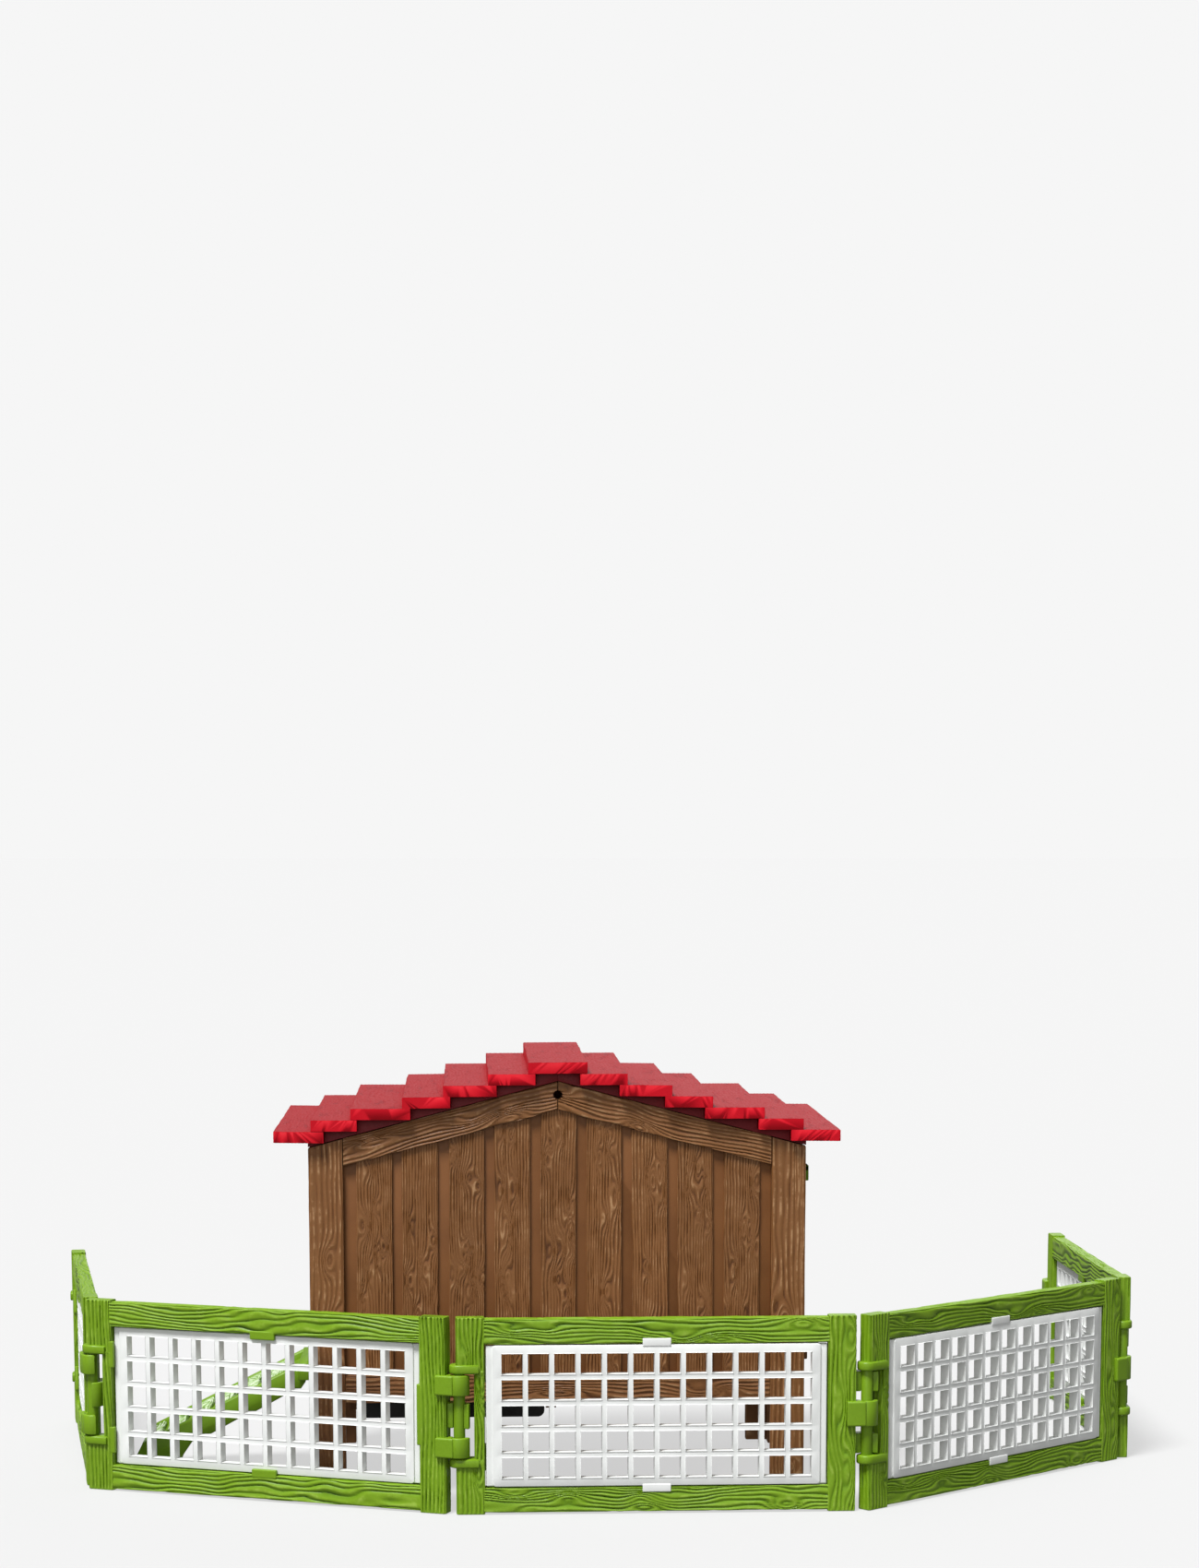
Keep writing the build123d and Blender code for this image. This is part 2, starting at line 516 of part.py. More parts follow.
def tab_notches():
    """Notches in the face of both rails for the grid's tabs."""
    face = -FRAME_T / 2
    middle = (STILE_IN + HOOK_STILE_IN) / 2
    x0, x1 = middle - TAB_NOTCH_HALF, middle + TAB_NOTCH_HALF
    upper = FENCE_H - RAIL_H
    lower_notch = block(x0, x1, face - 1, face + TAB_NOTCH_T, RAIL_H - TAB_NOTCH_H, RAIL_H)
    return lower_notch + block(x0, x1, face - 1, face + TAB_NOTCH_T, upper, upper + TAB_NOTCH_H)


def fence_frame():
    """One panel's frame: rod and its two arms at x = 0, hooks over the next rod at x = PITCH."""
    t = FRAME_T / 2
    frame = block(STILE_OUT, STILE_IN, -t, t, 0, FENCE_H)
    frame += block(HOOK_STILE_IN, HOOK_STILE_OUT, -t, t, 0, FENCE_H)
    frame += block(STILE_IN, HOOK_STILE_IN, -t, t, RAIL_SET, RAIL_H)
    frame += block(STILE_IN, HOOK_STILE_IN, -t, t, FENCE_H - RAIL_H, FENCE_H - RAIL_SET)
    frame += hinge_end()
    frame -= block(-THROUGH, NOTCH_X, -THROUGH, THROUGH, NOTCH_Z0, NOTCH_Z1)
    frame += rod_z(ROD_R, 0, 0, NOTCH_Z0 - 1, NOTCH_Z1 + 1)
    frame += hook(*CENTRE_HOOK, -1)
    for band in OUTER_HOOKS:
        frame += hook(*band, 1)
    return frame + grid_lugs() - tab_notches()


def fence_grid():
    """Push-in grid: a bevelled border, sixty holes and a tab at the top and the bottom."""
    width = HOOK_STILE_IN - STILE_IN - 2 * GRID_PLAY
    height = FENCE_H - 2 * RAIL_H - 2 * GRID_PLAY
    face = -GRID_T / 2
    grid = mesh_grid(width, height, GRID_T, COLUMNS, ROWS, CELL, HOLE)
    for side in (-1, 1):
        x0, x1 = sorted((side * (width / 2 - BEVEL_W), side * (width / 2 + 1)))
        grid -= block(x0, x1, face - 1, face + BEVEL_T, -height, height)
        z0, z1 = sorted((side * height / 2, side * (height / 2 + TAB_H)))
        grid += block(-TAB_HALF, TAB_HALF, face, face + TAB_T, z0, z1)
    y_mid = -FRAME_T / 2 + GRID_SET + GRID_T / 2
    return Pos((STILE_IN + HOOK_STILE_IN) / 2, y_mid, FENCE_H / 2) * grid


def step_from(point, turn, steps):
    """The rod reached from a rod by going along panels turned by turn."""
    angle = radians(turn)
    return (point[0] + steps * PITCH * cos(angle), point[1] + steps * PITCH * sin(angle))


RIGHT_ROD = step_from(FIRST_ROD, 0, 1)
FAR_RIGHT_ROD = step_from(RIGHT_ROD, RIGHT_TURN, 1)
LEFT_ROD = step_from(FIRST_ROD, LEFT_TURN, -1)
FAR_LEFT_ROD = step_from(LEFT_ROD, FAR_LEFT_TURN, -1)
# name, rod at the panel's own end, turn, and whether the panel stands upside down
PANELS = (("fence_far_left", FAR_LEFT_ROD, FAR_LEFT_TURN, True),
          ("fence_left", LEFT_ROD, LEFT_TURN, True),
          ("fence_centre", FIRST_ROD, 0.0, False),
          ("fence_right", RIGHT_ROD, RIGHT_TURN, False),
          ("fence_far_right", FAR_RIGHT_ROD, FAR_RIGHT_TURN, False))


def placed_panel(part, rod, turn, flipped):
    """Turn a panel over about its long axis if flipped, then stand it at its rod."""
    if flipped:
        part = Pos(0, 0, FENCE_H / 2) * Rot(180, 0, 0) * Pos(0, 0, -FENCE_H / 2) * part
    return Pos(rod[0], rod[1], 0) * Rot(0, 0, turn) * part


# ---- assembly ------------------------------------------------------------------------------
def house_parts():
    post = corner_post()
    return {
        "rear_gable_wall": gable_blank(),
        "front_gable_wall": front_gable(),
        "left_side_wall": left_side_wall(),
        "right_side_wall": right_side_wall(),
        "corner_post_rear_left": post,
        "corner_post_rear_right": mirror_x(post),
        "corner_post_front_left": mirror_depth(post),
        "corner_post_front_right": Pos(0, HOUSE_D, 0) * Rot(0, 0, 180) * post,
        "floor_deck": floor_deck(),
        "tray_runner_left": tray_runner(-1),
        "tray_runner_right": tray_runner(1),
        "droppings_tray": droppings_tray(),
    }


def roof_parts():
    slope = roof_slope()
    return {"roof_slope_left": slope, "roof_slope_right": mirror_x(slope),
            "ridge_board": ridge_board()}


def door_parts():
    rod = rod_z(DOOR_ROD_R, FRONT_ROD_X, FRONT_ROD_Y, FRONT_SILL, FRONT_HEAD)
    leaf, mesh, knob = front_leaf(), front_mesh(), door_knob()
    return {
        "front_door_right_frame": leaf,
        "front_door_right_mesh": mesh,
        "front_door_right_knob": knob,
        "front_door_right_rod": rod,
        "front_door_left_frame": mirror_x(leaf),
        "front_door_left_mesh": mirror_x(mesh),
        "front_door_left_knob": mirror_x(knob),
        "front_door_left_rod": mirror_x(rod),
        "door_turn_button": turn_button(),
        "side_door_frame": side_leaf(),
        "side_door_mesh": side_mesh(),
        "side_door_latch": side_latch(),
        "side_door_rod": rod_y(DOOR_ROD_R, SIDE_ROD_X, SIDE_ROD_Z, SIDE_Y0, SIDE_Y1),
    }


def ramp_parts():
    treads = [ramp_tread(index) for index in range(TREADS)]
    return {
        "ramp_frame": ramp_frame(),
        "ramp_treads": Compound(children=treads),
        "ramp_rod": rod_y(RAMP_ROD_R, RAMP_ROD_X, RAMP_ROD_Z, RAMP_Y0 - 0.5, RAMP_Y1 + 0.5),
    }


def fence_parts():
    frame, grid = fence_frame(), fence_grid()
    parts = {}
    for name, rod, turn, flipped in PANELS:
        parts[name + "_frame"] = placed_panel(frame, rod, turn, flipped)
        parts[name + "_grid"] = placed_panel(grid, rod, turn, flipped)
    return parts


def all_parts():
    parts = {}
    for group in (house_parts(), roof_parts(), door_parts(), ramp_parts(), fence_parts()):
        parts.update(group)
    return parts


def footprint_middle(parts):
    boxes = [part.bounding_box() for part in parts.values()]
    x = (min(b.min.X for b in boxes) + max(b.max.X for b in boxes)) / 2
    y = (min(b.min.Y for b in boxes) + max(b.max.Y for b in boxes)) / 2
    return x, y


PARTS = all_parts()
MIDDLE = footprint_middle(PARTS)
for node, part in PARTS.items():
    export_step(Pos(-MIDDLE[0], -MIDDLE[1], 0) * part, f"parts/{node}.step")
print(f"{len(PARTS)} nodes; hutch datum is at ({-MIDDLE[0]:.3f}, {-MIDDLE[1]:.3f})")
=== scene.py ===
import json
from math import atan2, cos, hypot, pi, radians, sin

import bmesh
import bpy
import numpy as np
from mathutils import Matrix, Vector


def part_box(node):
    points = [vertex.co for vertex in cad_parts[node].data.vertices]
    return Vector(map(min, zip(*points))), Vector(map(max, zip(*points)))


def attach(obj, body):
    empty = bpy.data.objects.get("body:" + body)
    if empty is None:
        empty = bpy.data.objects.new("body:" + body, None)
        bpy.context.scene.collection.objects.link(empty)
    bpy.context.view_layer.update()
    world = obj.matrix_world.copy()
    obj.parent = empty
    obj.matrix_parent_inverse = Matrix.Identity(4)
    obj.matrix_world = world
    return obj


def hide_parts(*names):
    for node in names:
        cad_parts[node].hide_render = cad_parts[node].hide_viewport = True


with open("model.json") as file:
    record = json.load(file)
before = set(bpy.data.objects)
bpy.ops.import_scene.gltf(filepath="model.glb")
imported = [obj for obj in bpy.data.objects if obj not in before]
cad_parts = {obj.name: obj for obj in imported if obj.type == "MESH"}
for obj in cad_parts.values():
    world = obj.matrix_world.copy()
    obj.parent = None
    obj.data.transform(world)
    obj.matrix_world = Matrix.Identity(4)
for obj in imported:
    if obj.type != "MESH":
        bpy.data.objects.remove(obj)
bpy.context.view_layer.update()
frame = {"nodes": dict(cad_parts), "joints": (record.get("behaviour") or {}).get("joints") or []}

MM = 0.001

# Toy rabbit hutch. Each board is its own closed shell with rounded edges and carved grain, made
# in millimetres in the hutch's own axes: x = 0 on the ridge, y = 0 on the rear gable's face.


# ---- places taken from the frame ----
def node_box(node):
    """Lowest and highest corner of a CAD node in millimetres."""
    low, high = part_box(node)
    return np.array(low) / MM, np.array(high) / MM


WALL_LOW, WALL_HIGH = node_box("rear_gable_wall")
DATUM = np.array([(WALL_LOW[0] + WALL_HIGH[0]) / 2, WALL_LOW[1], 0.0])
POST_LOW, POST_HIGH = node_box("corner_post_rear_left")
POST_FRONT = node_box("corner_post_front_left")[1]
JOINTS = {joint["name"]: np.array(joint["pos_m"]) / MM - DATUM for joint in frame["joints"]
          if "pos_m" in joint}


def hutch_box(node):
    """Lowest and highest corner of a CAD node in hutch millimetres."""
    low, high = node_box(node)
    return low - DATUM, high - DATUM


# ---- dimensions, millimetres ----
HALF_W = DATUM[0] - POST_LOW[0]
DEPTH = POST_FRONT[1] - POST_LOW[1]
POST_W = WALL_LOW[0] - POST_LOW[0]
APEX_Z = WALL_HIGH[2]
ROOF_FALL = 19.2
EAVE_Z = APEX_Z - ROOF_FALL
WALL_T = WALL_HIGH[1] - WALL_LOW[1]
RAIL_BOTTOM = WALL_LOW[2]
RAIL_TOP = RAIL_BOTTOM + 8.4
BASE_FACE, PLANK_FACE, RAIL_FACE = 1.9, 0.9, 0.3     # depths behind the posts' face
PLANK_W, PLANK_PITCH = 10.9, 13.6
FASCIA_OUT, FASCIA_IN = 8.0, 8.5     # width of a rake board at the eaves and at the ridge
PEG_R, PEG_Z = 1.3, 119.9


def roof_line(x):
    """Height of the walls' sloping top edge."""
    return APEX_Z - (APEX_Z - EAVE_Z) * np.abs(x) / HALF_W


def fascia_line(x):
    """Height of the rake boards' lower edge."""
    return roof_line(x) - FASCIA_IN + (FASCIA_IN - FASCIA_OUT) * np.abs(x) / HALF_W


# ---- noise and grain ----
def noise(u, v, seed):
    """Smooth noise from -1 to 1 whose features are one unit apart; it repeats every 64."""
    cells = 64
    table = np.random.default_rng(seed).uniform(-1, 1, (cells, cells))
    cell_u, cell_v = np.floor(u).astype(int), np.floor(v).astype(int)
    part_u, part_v = u - cell_u, v - cell_v
    part_u = part_u * part_u * (3 - 2 * part_u)
    part_v = part_v * part_v * (3 - 2 * part_v)

    def row(k):
        k = k % cells
        return table[cell_u % cells, k] * (1 - part_u) + table[(cell_u + 1) % cells, k] * part_u

    return row(cell_v) * (1 - part_v) + row(cell_v + 1) * part_v


class Grain:
    """Growth rings cut by a board's face: ridges along u, pitch apart, that sway and bend round
    knots. A higher sharp makes narrower grooves; a groove fades and returns over a stroke."""
    BROAD, TIGHT, TIGHT_PART = (26, 7), (7, 2.5), 0.28
    DEEP, FADE, RING_STEP = 0.66, 0.34, 3.7

    def __init__(self, seed, pitch, sway=1.0, knots=3, length=80.0, width=11.0, sharp=1.6,
                 knot_size=(3.0, 7.5), stroke=9.0):
        draw = np.random.default_rng(seed)
        self.seed, self.pitch, self.sway = seed, pitch, sway
        self.sharp, self.stroke = sharp, stroke
        # each knot: place along and across, half length, half width, ridges it pushes aside
        self.knots = [(draw.uniform(0.0, 1.0) * length, draw.uniform(-0.42, 0.42) * width,
                       draw.uniform(*knot_size), draw.uniform(0.9, 1.9) * pitch,
                       draw.choice((-1, 1)) * draw.uniform(1.6, 3.4)) for _ in range(knots)]

    def height(self, u, v):
        """From 0 in a groove to 1 on a ridge."""
        seed = self.seed
        phase = v / self.pitch
        for (along, across), part, step in ((self.BROAD, 1.0, 1), (self.TIGHT, self.TIGHT_PART, 2)):
            phase = phase + part * self.sway * noise(u / along, v / across, seed + step)
        for u0, v0, long, wide, rings in self.knots:
            phase = phase + rings * np.exp(-((u - u0) / long) ** 2 - ((v - v0) / wide) ** 2)
        ring = np.floor(phase)
        ridge = (0.5 - 0.5 * np.cos(2 * pi * (phase - ring))) ** (1 / self.sharp)
        strength = self.DEEP + self.FADE * noise(u / self.stroke, ring * self.RING_STEP, seed + 3)
        return 1 - strength * (1 - ridge)


# ---- meshes ----
def signed_volume(points, faces):
    """Six times the volume inside closed faces; negative if they look inwards."""
    groups, total = {}, 0.0
    for face in faces:
        groups.setdefault(len(face), []).append(face)
    for corners, group in groups.items():
        loops = points[np.array(group)]
        for k in range(1, corners - 1):
            total += np.sum(loops[:, 0] * np.cross(loops[:, k], loops[:, k + 1]))
    return total


PLAIN = 0.8            # grain value of a surface without grain
SHARP_ANGLE = 55
ROUNDING = np.array([0.0, 0.3, 0.65])     # where a rounded edge's loops lie, in its radius
MID = 0.3              # where a rounded rim's middle loop lies, in its radius
HAIRLINE = 0.01        # rounding that only keeps a cutter's edges from being exactly square


class Shell:
    """Closed parts in hutch millimetres, with two values a material reads at each vertex: grain,
    from 0 in a groove to 1 on a ridge, and tone, which shades a whole board."""

    def __init__(self):
        self.points, self.faces, self.grain, self.tone = [], [], [], []
        self.count = 0

    def add(self, points, faces, grain=PLAIN, tone=0.0):
        points = np.asarray(points, float)
        step = -1 if signed_volume(points, faces) < 0 else 1
        self.points.append(points)
        self.grain.append(np.broadcast_to(np.asarray(grain, float), (len(points),)))
        self.tone.append(np.broadcast_to(np.asarray(tone, float), (len(points),)))
        self.faces += [[index + self.count for index in face[::step]] for face in faces]
        self.count += len(points)

    def placed(self, move):
        """A copy whose points are moved by a function of the x, y and z arrays."""
        copy = Shell()
        points = np.stack(move(*np.concatenate(self.points).T), -1)
        copy.add(points, self.faces, np.concatenate(self.grain), np.concatenate(self.tone))
        return copy

    def mesh(self, name):
        mesh = bpy.data.meshes.new(name)
        mesh.from_pydata(((np.concatenate(self.points) + DATUM) * MM).tolist(), [], self.faces)
        return mesh

    def piece(self, name, material, body, *nodes):
        """Makes the Blender object, which stands for the CAD nodes if there are any."""
        mesh = self.mesh(name)
        for key, values in (("grain", self.grain), ("tone", self.tone)):
            attribute = mesh.attributes.new(key, "FLOAT", "POINT")
            attribute.data.foreach_set("value", np.concatenate(values).astype(np.float32))
        mesh.polygons.foreach_set("use_smooth", [len(face) == 4 for face in self.faces])
        mesh.set_sharp_from_angle(angle=radians(SHARP_ANGLE))
        mesh.materials.append(material)
        obj = bpy.data.objects.new(name, mesh)
        bpy.context.scene.collection.objects.link(obj)
        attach(obj, body)
        if nodes:
            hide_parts(*nodes)
        return obj


def stations(length, step, edge):
    """Positions along a side, closer together in the rounded edge at both ends."""
    inner = np.linspace(edge, length - edge, max(2, int(round((length - 2 * edge) / step)) + 1))
    return np.concatenate([edge * ROUNDING, inner, length - edge * ROUNDING[::-1]])


def board(shell, size, place, grain=None, depth=0.25, edge=0.5, steps=(0.9, 0.25), tone=0.0,
          wander=0.0, seed=0, two_faced=True):
    """A board with rounded edges: size along the grain, across it and through it. place turns
    u from 0, and v and w about the middle, into hutch millimetres; w < 0 is the face side.
    depth is the grain's, steps the mesh's, along and across. With two_faced off, the back is
    left plain."""
    length, width, thick = size
    edge = min(edge, 0.45 * thick, 0.45 * width)
    across = stations(width, steps[1], edge) - width / 2
    rear = across if two_faced else stations(width, width, edge) - width / 2
    through = stations(thick, max(0.5, 2 * steps[1]), edge)[1:-1] - thick / 2
    v = np.concatenate([across, np.full(len(through), width / 2), rear[::-1],
                        np.full(len(through), -width / 2)])
    w = np.concatenate([np.full(len(across), -thick / 2), through,
                        np.full(len(rear), thick / 2), through[::-1]])
    unrolled = np.concatenate([across, width / 2 + thick / 2 + through, width + thick + rear,
                               1.5 * (width + thick) + through])
    u = stations(length, steps[0], edge)
    u, v = np.meshgrid(u, v, indexing="ij")
    w = np.broadcast_to(w, u.shape)
    core = (np.clip(u, edge, length - edge), np.clip(v, edge - width / 2, width / 2 - edge),
            np.clip(w, edge - thick / 2, thick / 2 - edge))
    out = np.stack([u - core[0], v - core[1], w - core[2]], -1)
    out /= np.linalg.norm(out, axis=-1, keepdims=True)
    values = np.full(u.shape, PLAIN)
    radius = np.full(u.shape, edge)
    if grain is not None:
        values = grain.height(u, np.broadcast_to(unrolled, u.shape))
        radius = edge - depth * (1 - values) * np.clip(np.minimum(u, length - u) / edge, 0, 1)
    u, v, w = (core[k] + out[..., k] * radius for k in range(3))
    if wander:
        bend = u / 13
        sway = np.where(v > 0, noise(bend, u * 0 + 0.5, seed + 11), noise(bend, u * 0 + 7.5, seed + 12))
        v = v * (1 - wander * (0.5 + 0.5 * sway) / (width / 2))
    rows, loop = u.shape
    shell.add(np.stack(place(u.ravel(), v.ravel(), w.ravel()), -1), tube_faces(rows, loop),
              values.ravel(), tone)


def tube_faces(rows, loop):
    """Faces of a tube of loops with a flat cap at both ends."""
    faces = []
    for row in range(rows - 1):
        for k in range(loop):
            after = (k + 1) % loop
            faces.append([row * loop + k, row * loop + after,
                          (row + 1) * loop + after, (row + 1) * loop + k])
    last = (rows - 1) * loop
    return faces + [list(range(loop))[::-1], list(range(last, last + loop))]


def block(shell, low, high, edge=0.35, grain_axis=0, face_axis=1, **options):
    """A board between two corners. Its grain runs along grain_axis; its face is the low side
    of face_axis."""
    low, high = np.array(low, float), np.array(high, float)
    across_axis = 3 - grain_axis - face_axis
    middle = (low + high) / 2
    size = [high[axis] - low[axis] for axis in (grain_axis, across_axis, face_axis)]

    def place(u, v, w):
        out = [None, None, None]
        out[grain_axis] = low[grain_axis] + u
        out[across_axis] = middle[across_axis] + v
        out[face_axis] = middle[face_axis] + w
        return out

    board(shell, size, place, edge=edge, **options)


def prism(shell, outline, y0, y1, bevel):
    """A slab of the outline (x, z), run from y0 to y1 with its two face edges rounded."""
    outline = np.array(outline, float)
    ahead = np.roll(outline, -1, 0) - outline
    ahead /= np.linalg.norm(ahead, axis=1)[:, None]
    sides = np.stack([-ahead[:, 1], ahead[:, 0]], 1)
    turned = outline[:, 0] * np.roll(outline[:, 1], -1) - np.roll(outline[:, 0], -1) * outline[:, 1]
    inward = np.sign(np.sum(turned)) * (sides + np.roll(sides, 1, 0))
    inward /= np.linalg.norm(inward, axis=1)[:, None]
    mid = MID * bevel
    rings = [(bevel, y0), (mid, y0 + mid), (0.0, y0 + bevel),
             (0.0, y1 - bevel), (mid, y1 - mid), (bevel, y1)]
    points = [(x, y, z) for amount, y in rings for x, z in outline + inward * amount]
    shell.add(points, tube_faces(len(rings), len(outline)))


def slab(shell, outline, z0, z1, bevel):
    """A level slab of the outline (x, y) from z0 to z1."""
    upright = Shell()
    prism(upright, outline, z0, z1, bevel)
    level = upright.placed(lambda x, y, z: (x, z, y))
    shell.add(np.concatenate(level.points), level.faces)


def rod(shell, radius, start, end, sides=24, edge=0.2):
    """A round rod between two points, its ends slightly rounded."""
    start, end = np.array(start, float), np.array(end, float)
    axis = end - start
    length = np.linalg.norm(axis)
    axis /= length
    side = np.cross(axis, (0.3, 0.5, 0.81))     # any direction that no rod lies along
    side /= np.linalg.norm(side)
    turn = np.linspace(0, 2 * pi, sides, endpoint=False)
    ring = np.outer(np.cos(turn), side) + np.outer(np.sin(turn), np.cross(axis, side))
    mid = MID * edge
    profile = [(0, radius - edge), (mid, radius - mid), (edge, radius),
               (length - edge, radius), (length - mid, radius - mid), (length, radius - edge)]
    points = np.concatenate([start + axis * at + ring * r for at, r in profile])
    shell.add(points, tube_faces(len(profile), sides))


def cut(obj, cutter_shell, joined=False):
    """Takes a closed cutter out of a piece; joined where it goes through two parts at once."""
    mesh = cutter_shell.mesh("cutter")
    cutter = bpy.data.objects.new("cutter", mesh)
    bpy.context.scene.collection.objects.link(cutter)
    modifier = obj.modifiers.new("cut", "BOOLEAN")
    modifier.operation = "DIFFERENCE"
    modifier.solver = "EXACT"
    modifier.use_self = joined
    modifier.object = cutter
    bpy.context.view_layer.update()
    evaluated = obj.evaluated_get(bpy.context.evaluated_depsgraph_get())
    result = bpy.data.meshes.new_from_object(evaluated)
    obj.modifiers.clear()
    obj.data = result
    bpy.data.objects.remove(cutter)
    bpy.data.meshes.remove(mesh)


# ---- materials ----
def linear(red, green, blue):
    """A colour given as 0-255 display values, as linear values."""
    values = [c / 255 for c in (red, green, blue)]
    return tuple(c / 12.92 if c <= 0.04045 else ((c + 0.055) / 1.055) ** 2.4 for c in values) + (1.0,)


class Nodes:
    """Short calls for building one node tree."""

    def __init__(self, name):
        self.material = bpy.data.materials.new(name)
        self.material.use_nodes = True
        self.tree = self.material.node_tree
        self.shader = self.tree.nodes["Principled BSDF"]
        self.place = self.new("ShaderNodeTexCoord").outputs["Object"]

    def new(self, kind, **settings):
        node = self.tree.nodes.new(kind)
        for key, value in settings.items():
            setattr(node, key, value)
        return node

    def link(self, source, target):
        self.tree.links.new(source, target)

    def attribute(self, name):
        return self.new("ShaderNodeAttribute", attribute_name=name).outputs["Fac"]

    def noise(self, per_metre, detail, rough=0.55, stretch=(1, 1, 1)):
        mapping = self.new("ShaderNodeMapping")
        mapping.inputs["Scale"].default_value = stretch
        self.link(self.place, mapping.inputs["Vector"])
        texture = self.new("ShaderNodeTexNoise")
        texture.inputs["Scale"].default_value = per_metre
        texture.inputs["Detail"].default_value = detail
        texture.inputs["Roughness"].default_value = rough
        self.link(mapping.outputs["Vector"], texture.inputs["Vector"])
        return texture.outputs["Fac"]

    def spread(self, value, from_low, from_high, to_low=0.0, to_high=1.0, kind="SMOOTHSTEP"):
        node = self.new("ShaderNodeMapRange", interpolation_type=kind)
        for key, number in zip(("From Min", "From Max", "To Min", "To Max"),
                               (from_low, from_high, to_low, to_high)):
            node.inputs[key].default_value = number
        self.link(value, node.inputs["Value"])
        return node.outputs["Result"]

    def maths(self, operation, a, b):
        node = self.new("ShaderNodeMath", operation=operation)
        for socket, value in zip(node.inputs, (a, b)):
            if isinstance(value, (int, float)):
                socket.default_value = value
            else:
                self.link(value, socket)
        return node.outputs[0]

    def mix(self, amount, a, b, blend="MIX"):
        node = self.new("ShaderNodeMix", data_type="RGBA", blend_type=blend)
        for socket, value in ((node.inputs[0], amount), (node.inputs[6], a), (node.inputs[7], b)):
            if isinstance(value, (int, float, tuple)):
                socket.default_value = value
            else:
                self.link(value, socket)
        return node.outputs[2]

    def bump(self, height, distance, strength, before=None):
        node = self.new("ShaderNodeBump")
        node.inputs["Strength"].default_value = strength
        node.inputs["Distance"].default_value = distance
        self.link(height, node.inputs["Height"])
        if before is not None:
            self.link(before, node.inputs["Normal"])
        return node.outputs["Normal"]

    def finish(self, fine, low_rough, high_rough, skin, specular):
        """Roughness that varies with the fine noise, the bumps and the gloss."""
        self.link(self.spread(fine, 0.3, 0.7, low_rough, high_rough, "LINEAR"),
                  self.shader.inputs["Roughness"])
        self.link(skin, self.shader.inputs["Normal"])
        self.shader.inputs["Specular IOR Level"].default_value = specular


SPECULAR, ROOF_SPECULAR = 0.3, 0.18


def grained_plastic(name, groove, body, ridge, brushed, brush_from, rough):
    """Moulded plastic: darker in the grain's grooves, partly painted shade in the hollows of the carved
    relief, dry-brushed paint on its ridges.
    """
    n = Nodes(name)
    grain, tone = n.attribute("grain"), n.attribute("tone")
    cloud = n.noise(60, 3)
    fine = n.noise(1500, 3, 0.6)
    patch = n.noise(260, 4, 0.6)
    # Dark grooves: partly painted shade in the carved hollows
    colour = n.mix(n.spread(grain, 0.05, 0.62), linear(*groove), linear(*body))
    colour = n.mix(n.spread(grain, 0.6, 0.98), colour, linear(*ridge))
    brush = n.maths("MULTIPLY", n.spread(grain, brush_from, 1.0), n.spread(patch, 0.44, 0.68))
    colour = n.mix(brush, colour, linear(*brushed))
    shade = n.maths("ADD", n.spread(cloud, 0.25, 0.75, 0.93, 1.05, "LINEAR"),
                    n.maths("MULTIPLY", tone, 0.06))
    shade = n.maths("MULTIPLY", shade, n.spread(fine, 0.3, 0.7, 0.95, 1.04, "LINEAR"))
    scale = n.new("ShaderNodeVectorMath", operation="SCALE")
    n.link(colour, scale.inputs[0])
    n.link(shade, scale.inputs["Scale"])
    n.link(scale.outputs[0], n.shader.inputs["Base Color"])
    n.finish(fine, rough - 0.1, rough + 0.1, n.bump(fine, 0.00006, 0.5), SPECULAR)
    return n.material


def plain_plastic(name, body, darker, rough):
    """Moulded plastic without grain: clouded colour and a fine skin."""
    n = Nodes(name)
    cloud, fine = n.noise(70, 4), n.noise(1400, 3, 0.6)
    colour = n.mix(n.spread(cloud, 0.35, 0.7), linear(*body), linear(*darker))
    n.link(colour, n.shader.inputs["Base Color"])
    n.finish(fine, rough - 0.07, rough + 0.09, n.bump(fine, 0.00004, 0.5), SPECULAR)
    return n.material


def roof_plastic():
    """Red moulded plastic: level faces are scuffed and cracked along the boards, ends plain. Level faces
    also get a darker red base, painted shade that evens out the lamp lighting them more than the ends, and
    a pinkish scuff that is partly a painted sheen.
    """
    n = Nodes("roof_red_plastic")
    cloud, fine = n.noise(90, 4), n.noise(1700, 4, 0.65, (1, 0.35, 1))
    scuff_and_sheen, crack = n.noise(420, 5, 0.7, (1, 0.3, 1)), n.noise(300, 6, 0.75, (1, 0.16, 1))
    split = n.new("ShaderNodeSeparateXYZ")
    n.link(n.new("ShaderNodeTexCoord").outputs["Normal"], split.inputs[0])
    # Mask of the level faces, which get painted shade (a darker red than the ends) and a pinkish scuff that
    # is partly painted sheen
    level = n.spread(n.maths("ABSOLUTE", split.outputs["Z"], 0.0), 0.4, 0.8)
    colour = n.mix(n.spread(cloud, 0.3, 0.75), linear(196, 4, 28), linear(186, 3, 25))
    # Painted shade and sheen on level faces: a darker red base than the ends, lifted towards pink by the
    # scuff noise
    top = n.mix(n.spread(scuff_and_sheen, 0.5, 0.8, 0.0, 0.4), linear(142, 8, 20), linear(168, 48, 54))
    top = n.mix(n.spread(crack, 0.34, 0.44, 0.55, 0.0), top, linear(104, 10, 22))
    colour = n.mix(level, colour, top)
    n.link(colour, n.shader.inputs["Base Color"])
    relief = n.maths("MULTIPLY", n.maths("ADD", scuff_and_sheen, n.spread(crack, 0.34, 0.46)), level)
    skin = n.bump(fine, 0.00005, 0.5, n.bump(relief, 0.00016, 0.7))
    n.finish(fine, 0.5, 0.68, skin, ROOF_SPECULAR)
    return n.material
